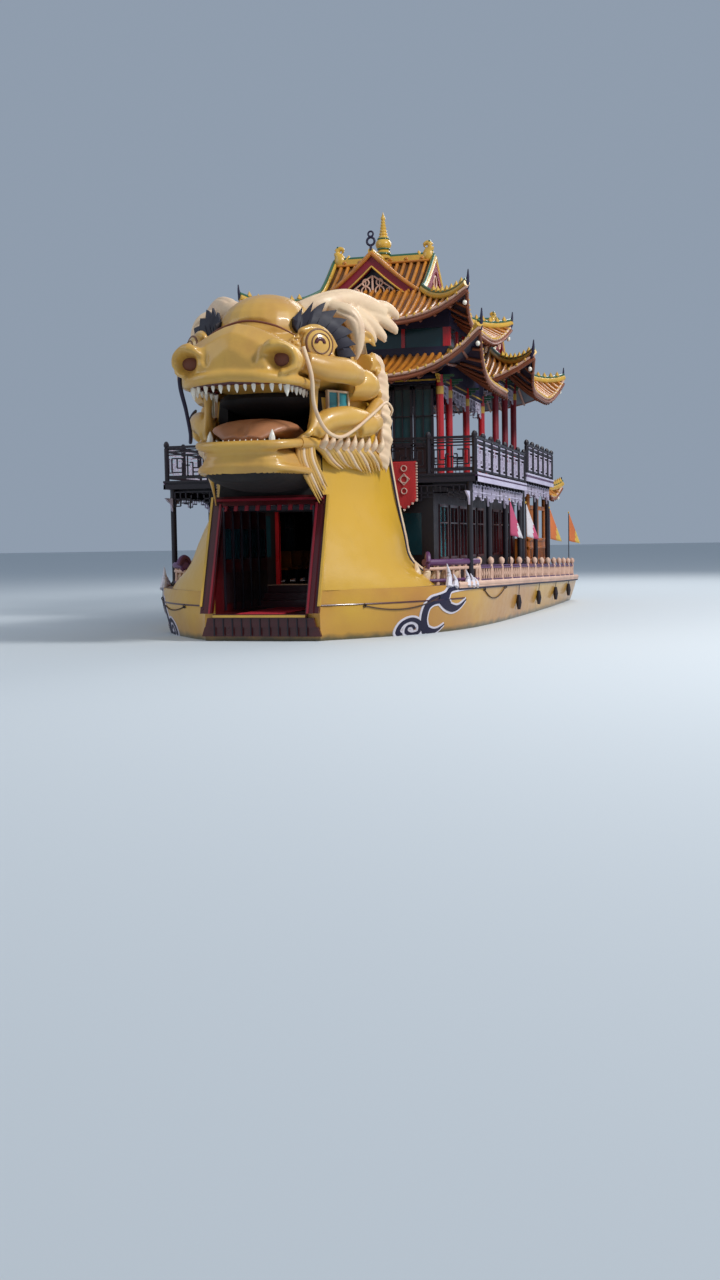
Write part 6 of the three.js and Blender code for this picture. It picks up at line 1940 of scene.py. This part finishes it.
def make_stern():
    screen = Piece("stern_screen")
    wood, dark = carved_paint(), dark_wood()
    for side in (1, -1):
        x0, x1 = side * 4.19, side * 4.3
        screen.box((x0, 17.6, 0.98), (x1, 22.5, 2.5), wood)
        for z in (1.25, 1.7, 2.15, 2.45):
            screen.add(limb([(side * 4.3, 17.6, z), (side * 4.3, 22.5, z)], [0.06, 0.06], 8, 4), wood)
        for k in range(24):
            a = 17.75 + 0.2 * k
            screen.add(limb([(side * 4.3, a, 1.3), (side * 4.33, a, 1.5), (side * 4.3, a, 1.68)],
                            [0.045, 0.06, 0.045], 6, 6), wood)
            screen.add(limb([(side * 4.3, a, 1.75), (side * 4.32, a, 2.1)], [0.035, 0.035], 6, 3),
                       dark if k % 2 else wood)
        for a in (17.9, 20.2, 22.38):
            base = hull_at(a)[1]
            top = 4.49 if a < 22 else 4.3
            screen.add(lathe((side * 4.24, a, base), [(0, 0), (0.12, 0), (0.12, 0.1), (0.09, 0.16),
                                                      (0.09, top - base), (0, top - base)], 14), wood)
        for k in range(10):
            a = 18.05 + 0.21 * k
            screen.add(limb([(side * 4.24, a, 2.5), (side * 4.24, a, 3.6)], [0.028, 0.028], 6, 3), wood)
        screen.box((side * 4.2, 17.9, 3.6), (side * 4.28, 22.38, 3.75), wood)
    screen.box((-4.19, 22.38, 0.96), (4.19, 22.5, 2.5), wood)
    for k in range(40):
        x = -4.0 + 8.0 * k / 39
        screen.add(limb([(x, 22.52, 1.3), (x, 22.55, 1.7), (x, 22.52, 2.1)], [0.05, 0.06, 0.05], 6, 6), wood)
    for z in (1.25, 2.2, 2.46):
        screen.add(limb([(-4.19, 22.52, z), (4.19, 22.52, z)], [0.055, 0.055], 8, 4), wood)
    screen.done(("stern_screen",))
    shapes = [
        limb([(0, 22.6, 0.3), (0, 23.3, 0.9), (0, 24.2, 1.7), (0, 24.5, 2.7), (0, 24.0, 3.5), (0, 24.3, 4.2)],
             [0.42, 0.42, 0.38, 0.32, 0.26, 0.14], 18, 30),
        limb([(0, 24.15, 3.6), (0, 24.7, 4.1), (0, 25.2, 4.1)], [0.17, 0.13, 0.02], 12, 12),
        limb([(0, 24.45, 2.8), (0, 25.0, 3.2), (0, 25.5, 3.0)], [0.2, 0.13, 0.02], 12, 12),
        limb([(0, 24.15, 3.8), (0, 23.95, 4.5), (0, 24.2, 5.0)], [0.15, 0.12, 0.02], 12, 12),
        limb([(0, 24.3, 2.0), (0, 24.95, 2.2), (0, 25.25, 2.0)], [0.18, 0.12, 0.02], 12, 12),
        limb([(0, 24.2, 4.0), (0, 24.55, 4.6), (0, 24.9, 4.75)], [0.14, 0.1, 0.02], 12, 12),
    ]
    tail = sculpt("tail", shapes, neck_paint(), grain=0.035, rounds=3)
    scales = []
    line = smooth_line([at(0, 22.7, 0.4), at(0, 23.3, 0.9), at(0, 24.2, 1.7), at(0, 24.5, 2.7),
                        at(0, 24.0, 3.5)], 25)
    side_way = Vector((1, 0, 0))
    for k in range(26):
        ahead = (line[min(k + 1, 25)] - line[max(k - 1, 0)]).normalized()
        over = side_way.cross(ahead)
        r = 0.40 - 0.14 * k / 25
        for turn in (-1.2, -0.6, 0, 0.6, 1.2, 2.0, 2.7, -2.0, -2.7):
            out = side_way * math.sin(turn) + over * math.cos(turn)
            q = out.to_track_quat("Z", "Y").to_euler()
            scales.append((line[k] + out * r, tuple(q), (1.0, 1.0, 0.35)))
    scale_shape = ([Vector(v) * 0.13
                    for v in ((1, 0, 0), (0.5, 0.87, 0), (-0.5, 0.87, 0), (-1, 0, 0),
                              (-0.5, -0.87, 0), (0.5, -0.87, 0), (0, 0, 0.6), (0, 0, -0.3))],
                   [(i, (i + 1) % 6, 6) for i in range(6)] + [((i + 1) % 6, i, 7) for i in range(6)])
    settle(merge("tail", [tail, copies("tail_scales", scale_shape, scales, ridge_glaze())]),
           ("tail",))


def ribbon_on_hull(points, widths, lift, side, thick=0.02):
    """A flat band laid on the hull's side: points are (aft, z)."""
    line = smooth_line([Vector((a, z, 0)) for a, z in points], 14 * (len(points) - 1))
    rings = []
    for k, p in enumerate(line):
        ahead = (line[min(k + 1, len(line) - 1)] - line[max(k - 1, 0)]).normalized()
        across = Vector((-ahead.y, ahead.x, 0))
        w = partway(widths, k / (len(line) - 1))
        ring = []
        for edge, out in ((-1, lift), (1, lift), (1, lift - thick), (-1, lift - thick)):
            q = p + across * (w * edge)
            a, z = q.x, max(0.0, q.y)
            top = hull_at(a)[1]
            ring.append(at(side * (hull_side_x(a, min(z, top)) + out), a, z))
        rings.append(ring)
    return rings_shape(rings)


def make_scrolls():
    """The painted cloud scroll on each bow: navy with a white outline."""
    spiral = [(2.37, 0.16), (2.26, 0.25), (2.12, 0.23), (2.12, 0.10), (2.30, 0.02), (2.53, 0.07),
              (2.48, 0.30), (2.20, 0.42),
              (1.94, 0.33), (1.86, 0.12), (1.98, 0.0)]
    stem = [(2.84, 0.0), (2.67, 0.2), (2.58, 0.45), (2.60, 0.72), (2.78, 0.88), (3.05, 0.93), (3.34, 1.02),
            (3.52, 1.16),
            (3.85, 1.19), (4.3, 1.2), (4.8, 1.2)]
    hook = [(3.11, 0.90), (3.35, 0.74), (3.67, 0.64), (3.98, 0.67), (4.32, 0.86)]
    curl = [(3.4, 1.02), (3.36, 0.90), (3.52, 0.80)]
    lower = [(2.72, 0.12), (3.01, 0.05), (3.23, 0.09), (3.45, 0.22)]
    white = finish("scroll_white", (0.72, 0.68, 0.74), deep=(0.5, 0.44, 0.5), rough=0.4, streaks=0.3)
    for side, name in SIDES:
        scroll = Piece(f"scroll_{name}")
        for points, widths in ((spiral, [0.03, 0.05, 0.06]),
                               (stem, [0.12, 0.09, 0.10, 0.11, 0.07, 0.04, 0.02]),
                               (hook, [0.12, 0.10, 0.015]), (curl, [0.06, 0.04, 0.01]),
                               (lower, [0.09, 0.06, 0.01])):
            scroll.add(ribbon_on_hull(points, [w + 0.055 for w in widths], 0.022, side), white, False)
            scroll.add(ribbon_on_hull(points, widths, 0.036, side), navy_paint(), False)
        for a, z, tall in ((3.45, 1.25, 0.62), (3.72, 1.22, 0.36), (4.35, 1.22, 0.46), (4.65, 1.2, 0.36),
                           (4.9, 1.2, 0.25)):
            deck = hull_at(a)[0]
            scroll.add(sided(limb([(deck + 0.03, a, z), (deck + 0.02, a + 0.1, z + 0.5 * tall),
                                   (deck - 0.02, a + 0.02, z + tall)],
                                  [0.10, 0.07, 0.01], 8, 8), side), white)
        scroll.done()


def cloth(name, outline_rows, material, thickness=0.008):
    """A hanging cloth from rows of points."""
    rows, columns = len(outline_rows), len(outline_rows[0])
    mesh = bpy.data.meshes.new(name)
    verts = [p for row in outline_rows for p in row]
    faces = [(r * columns + c, r * columns + c + 1, (r + 1) * columns + c + 1, (r + 1) * columns + c)
             for r in range(rows - 1) for c in range(columns - 1)]
    mesh.from_pydata(verts, [], faces)
    mesh.materials.append(material)
    made = linked(name, mesh)
    solid = made.modifiers.new("thickness", "SOLIDIFY")
    solid.thickness = thickness
    evaluated(made)
    shade_smooth(made)
    return made


def make_banners():
    red_cloth = finish("banner_red", (0.62, 0.03, 0.03), deep=(0.32, 0.01, 0.02), rough=0.8, weave=120.0,
                       streaks=0.2)
    pale = finish("banner_edge", (0.75, 0.52, 0.42), rough=0.8, weave=120.0)
    for side, name in SIDES:
        rows = []
        face = FORE_DECK["from"] - 0.035
        for r in range(25):
            v = r / 24
            row = []
            for c in range(17):
                u = c / 16
                x = 2.28 + 0.72 * u
                low = 3.65 - 0.27 * (1 - abs(2 * u - 1))
                z = 4.76 + (low - 4.76) * v
                wave = 0.012 * math.sin(7 * u + 1.3) * v
                row.append(at(side * x, face - wave, z))
            rows.append(row)
        banner = cloth(f"banner_{name}", rows, red_cloth)
        trim = Piece(f"banner_trim_{name}")
        for k in range(14):
            z = 4.70 - k * 0.078
            for x in (2.27, 3.01):
                trim.add(sided(ellipsoid((x, face - 0.012, z), (0.035, 0.012, 0.03), around=8, down=5), side),
                         pale)
        for k in range(7):
            u = k / 6
            z = 3.65 - 0.27 * (1 - abs(2 * u - 1))
            trim.add(sided(ellipsoid((2.28 + 0.72 * u, face - 0.02, z), (0.04, 0.014, 0.04),
                                     around=8, down=5), side), pale)
        trim.add(sided(limb([(2.2, face, 4.78), (3.08, face, 4.78)], [0.018, 0.018], 8, 2), side),
                 dark_wood())
        # A plain diamond and cloud curls, woven in pink
        for ring, z in ((0.16, 4.25), (0.10, 4.25), (0.08, 3.92), (0.08, 4.56)):
            trim.add(sided(torus((2.64, face - 0.02, z), ring, 0.014, AFTWARD, 4 if ring > 0.12 else 20, 6),
                           side), pale)
        made = trim.object()
        settle(made)
        settle(banner, (f"banner_{name}",))


def make_pennants():
    """Small pennants on the deck rails, each a hung cloth laced to its staff."""
    pink, white, orange, yellow = (
        finish(f"pennant_{tint}", colour, rough=0.8, weave=140.0)
        for tint, colour in (("pink", (0.62, 0.10, 0.20)), ("white", (0.78, 0.72, 0.74)),
                             ("orange", (0.75, 0.20, 0.06)), ("yellow", (0.80, 0.52, 0.10))))
    for side, name in SIDES:
        for k, (aft, field, edge) in enumerate(((9.5, pink, white), (12.0, white, pink),
                                                (16.5, orange, yellow),
                                                (21.6, orange, yellow))):
            deck, height = hull_at(aft)[:2]
            x = side * (deck - 0.17)
            staff = Piece(f"pennant_staff_{name}_{k}")
            top = height + 2.5
            staff.add(limb([(x, aft, height + 0.4), (x, aft, top)], [0.018, 0.014], 8, 3), dark_wood())
            staff.add(ellipsoid((x, aft, top + 0.03), (0.03, 0.03, 0.045), around=10, down=6), ridge_glaze())
            made = staff.object()
            settle(made)
            rows = []
            for r in range(13):
                v = r / 12
                wide = 0.56 * v
                row = []
                for c in range(9):
                    u = c / 8
                    reach = (wide + 0.02) * u
                    row.append(at(x + side * (0.016 + 0.62 * reach) + 0.02 * math.sin(5 * u + k) * v,
                                  aft + 0.75 * reach, top - 0.04 - 1.05 * v - 0.10 * u * v))
                rows.append(row)
            flag = cloth(f"pennant_{name}_{k}", rows, field)
            repaint(flag, edge, lambda face: face.center.y - SILL_Y > aft + 0.24)
            settle(flag)


# Stern gear
def make_stern_gear():
    for side, name in SIDES:
        propeller = Piece(f"propeller_{name}")
        x, a, z = SHAFT_X * side, 20.7, SHAFT_Z
        for start, end in (((0.042, 20.15), (0.042, 20.6)), ((0.085, 20.59), (0.085, 20.8)),
                           ((0.085, 20.8), (0.02, 20.85))):
            propeller.add(shaft(x, start, end, 32), bronze())
        for k in range(4):
            turn = k * math.pi / 2 + 0.3
            rings = []
            for i in range(8):
                t = i / 7
                r = 0.07 + 0.27 * t
                chord = 0.075 + 0.06 * math.sin(math.pi * min(1, t * 1.1)) if t < 1 else 0.03
                pitch = side * (0.95 - 0.45 * t)
                ring = []
                for u, w in ((-1, 0), (-0.3, 0.012), (0.5, 0.010), (1, 0), (0.5, -0.008), (-0.3, -0.010)):
                    along = chord * u
                    tangential = along * math.cos(pitch) - w * math.sin(pitch)
                    lengthwise = along * math.sin(pitch) * 0.8 + w * math.cos(pitch)
                    px = r * math.sin(turn) + tangential * math.cos(turn)
                    pz = r * math.cos(turn) - tangential * math.sin(turn)
                    ring.append(at(x + px, a + lengthwise * 0.7, z + pz))
                rings.append(ring)
            propeller.add(rings_shape(rings), bronze())
        propeller.done((f"propeller_{name}",), body=f"propeller_{name}")


def make_mooring():
    """Swags of mooring rope on the bow and under the gunwale, with their hooks."""
    for side, name in SIDES:
        hooks = Piece(f"rope_hooks_{name}")
        for label, anchors, sag in (("bow", [(0.9, 0.86), (3.0, 0.98)], 0.20),
                                    ("quarter", [(5.6, 1.10), (8.0, 1.07)], 0.30)):
            (a0, z0), (a1, z1) = anchors
            points = []
            for k in range(25):
                t = k / 24
                a = a0 + (a1 - a0) * t
                z = z0 + (z1 - z0) * t - sag * 4 * t * (1 - t)
                points.append(at(side * (hull_side_x(a, z) + 0.022), a, z))
            rope(f"rope_{label}_{name}", points, 0.032)
            for a, z in anchors:
                x = side * (hull_side_x(a, z) + 0.02)
                hooks.add(torus((x, a, z), 0.045, 0.014, AFTWARD, 20, 8), dark_wood())
        for a in (10.0, 13.4, 16.8, 20.2):
            x = side * (hull_side_x(a, 0.6) + 0.07)
            hooks.add(limb([(x, a, 0.28), (x, a, 0.5), (x, a, 0.74)], [0.05, 0.09, 0.05], 12, 10),
                      dark_wood())
            hooks.add(limb([(x, a, 0.74), (side * (hull_at(a)[0] + 0.03), a, hull_at(a)[1])], [0.012, 0.012],
                           6, 2), dark_wood())
        hooks.done()


def rope(name, points, diameter):
    curve = bpy.data.curves.new(name, "CURVE")
    curve.dimensions = "3D"
    spline = curve.splines.new("POLY")
    spline.points.add(len(points) - 1)
    for p, q in zip(spline.points, points):
        p.co = (*q, 1)
    curve.bevel_depth = diameter / 2
    curve.bevel_resolution = 3
    curve.use_fill_caps = True
    curve.materials.append(rope_fibre())
    made = settle(linked(name, curve))


def dress_plain_nodes():
    """Bronze for the rudders, whose solids show as they are."""
    for name in ("rudder_port", "rudder_starboard"):
        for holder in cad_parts[name].material_slots:
            holder.material = bronze()


def make_stage():
    mesh = bpy.data.meshes.new("floor")
    reach = 400
    corners = [(-reach, -reach, 0), (reach, -reach, 0), (reach, reach, 0), (-reach, reach, 0)]
    mesh.from_pydata(corners, [], [(0, 1, 2, 3)])
    floor = linked("floor", mesh)
    pale = bpy.data.materials.new("floor_pale")
    pale.use_nodes = True
    shader = pale.node_tree.nodes["Principled BSDF"]
    shader.inputs["Base Color"].default_value = (0.62, 0.66, 0.68, 1)
    shader.inputs["Roughness"].default_value = 0.85
    mesh.materials.append(pale)
    world = bpy.data.worlds.new("studio")
    world.use_nodes = True
    sky = world.node_tree.nodes["Background"]
    sky.inputs["Color"].default_value = (0.66, 0.80, 1.0, 1)
    sky.inputs["Strength"].default_value = 0.42
    bpy.context.scene.world = world
    bpy.context.scene.view_settings.view_transform = "Standard"
    for name, place, target, power, size in (
            ("key_light", (36, -18, 36), (0, -2, 4), 19000, 10),
            ("fill_light", (-30, -26, 22), (0, 0, 4), 3000, 26),
            ("rim_light", (10, 34, 30), (0, 4, 6), 7000, 22)):
        light = bpy.data.lights.new(name, "AREA")
        light.energy = power
        light.size = size
        lamp = linked(name, light)
        lamp.location = place
        lamp.rotation_euler = (Vector(target) - Vector(place)).to_track_quat("-Z", "Y").to_euler()


def make_camera():
    """The photograph's camera: 2.55 m above the water, 15.3 degrees left of the boat's length."""
    yaw, pitch, roll = math.radians(15.29), math.radians(4.10), math.radians(-0.95)
    ahead = Vector((-math.sin(yaw) * math.cos(pitch), math.cos(yaw) * math.cos(pitch), -math.sin(pitch)))
    level = Vector((math.cos(yaw), math.sin(yaw), 0))
    upright = level.cross(ahead)
    right = level * math.cos(roll) + upright * math.sin(roll)
    above = -level * math.sin(roll) + upright * math.cos(roll)
    turn = Matrix((right, above, -ahead)).transposed().to_4x4()
    lens = bpy.data.cameras.new("camera")
    lens.lens = 39.2
    lens.sensor_width = 36
    camera = linked("camera", lens)
    camera.matrix_world = Matrix.Translation((11.87, -45.08, 2.55)) @ turn
    lens.clip_end = 600
    bpy.context.scene.camera = camera


def operator(label, *makers):
    """One operator that builds a group of pieces."""
    word = label.lower().replace(" ", "_")

    def execute(self, context):
        for maker in makers:
            maker()
        return {"FINISHED"}

    return type("DRAGON_BOAT_OT_" + word, (bpy.types.Operator,), {
        "bl_idname": "dragon_boat." + word, "bl_label": label, "__doc__": f"Builds the {label.lower()}",
        "execute": execute})


OPERATORS = [
    operator("Camera", make_camera),
    operator("Mooring ropes", make_mooring),
    operator("Hull", make_hull, make_gunwales),
    operator("Neck", make_neck, make_entrance),
    operator("Head", make_head, make_cheeks, make_jaw),
    operator("Teeth", make_teeth),
    operator("Eyes and brows", make_eyes, make_brows),
    operator("Antlers and mane", make_antlers, make_mane),
    operator("Beards and whiskers", make_beards),
    operator("Roofs", make_roofs),
    operator("Ridges and finial", make_ridges, make_front_gable),
    operator("Upper decks", make_upper_decks, make_balconies),
    operator("Colonnades", make_colonnades),
    operator("Saloons", make_saloons),
    operator("Pavilions", make_pavilions),
    operator("Deck rails", make_deck_rails),
    operator("Stern", make_stern, make_stern_gear, dress_plain_nodes),
    operator("Scrolls", make_scrolls),
    operator("Banners", make_banners, make_pennants),
    operator("Stage", make_stage),
]


class VIEW3D_PT_dragon_boat(bpy.types.Panel):
    """Lists the boat's operators."""
    bl_label = "Dragon boat"
    bl_idname = "VIEW3D_PT_dragon_boat"
    bl_space_type = "VIEW_3D"
    bl_region_type = "UI"
    bl_category = "Dragon boat"

    def draw(self, context):
        for group in (context.scene.dragon_boat_colours, context.scene.dragon_boat_sizes):
            for name in group.__annotations__:
                self.layout.prop(group, name)
        for made in OPERATORS:
            self.layout.operator(made.bl_idname)


CLASSES = [DragonBoatColours, DragonBoatSizes, *OPERATORS, VIEW3D_PT_dragon_boat]


def register():
    for each in CLASSES:
        bpy.utils.register_class(each)
    bpy.types.Scene.dragon_boat_colours = bpy.props.PointerProperty(type=DragonBoatColours)
    bpy.types.Scene.dragon_boat_sizes = bpy.props.PointerProperty(type=DragonBoatSizes)


def unregister():
    del bpy.types.Scene.dragon_boat_sizes
    del bpy.types.Scene.dragon_boat_colours
    for each in reversed(CLASSES):
        bpy.utils.unregister_class(each)


def main():
    register()
    for made in OPERATORS:
        group, name = made.bl_idname.split(".")
        getattr(getattr(bpy.ops, group), name)()


if __name__ == "__main__":
    main()
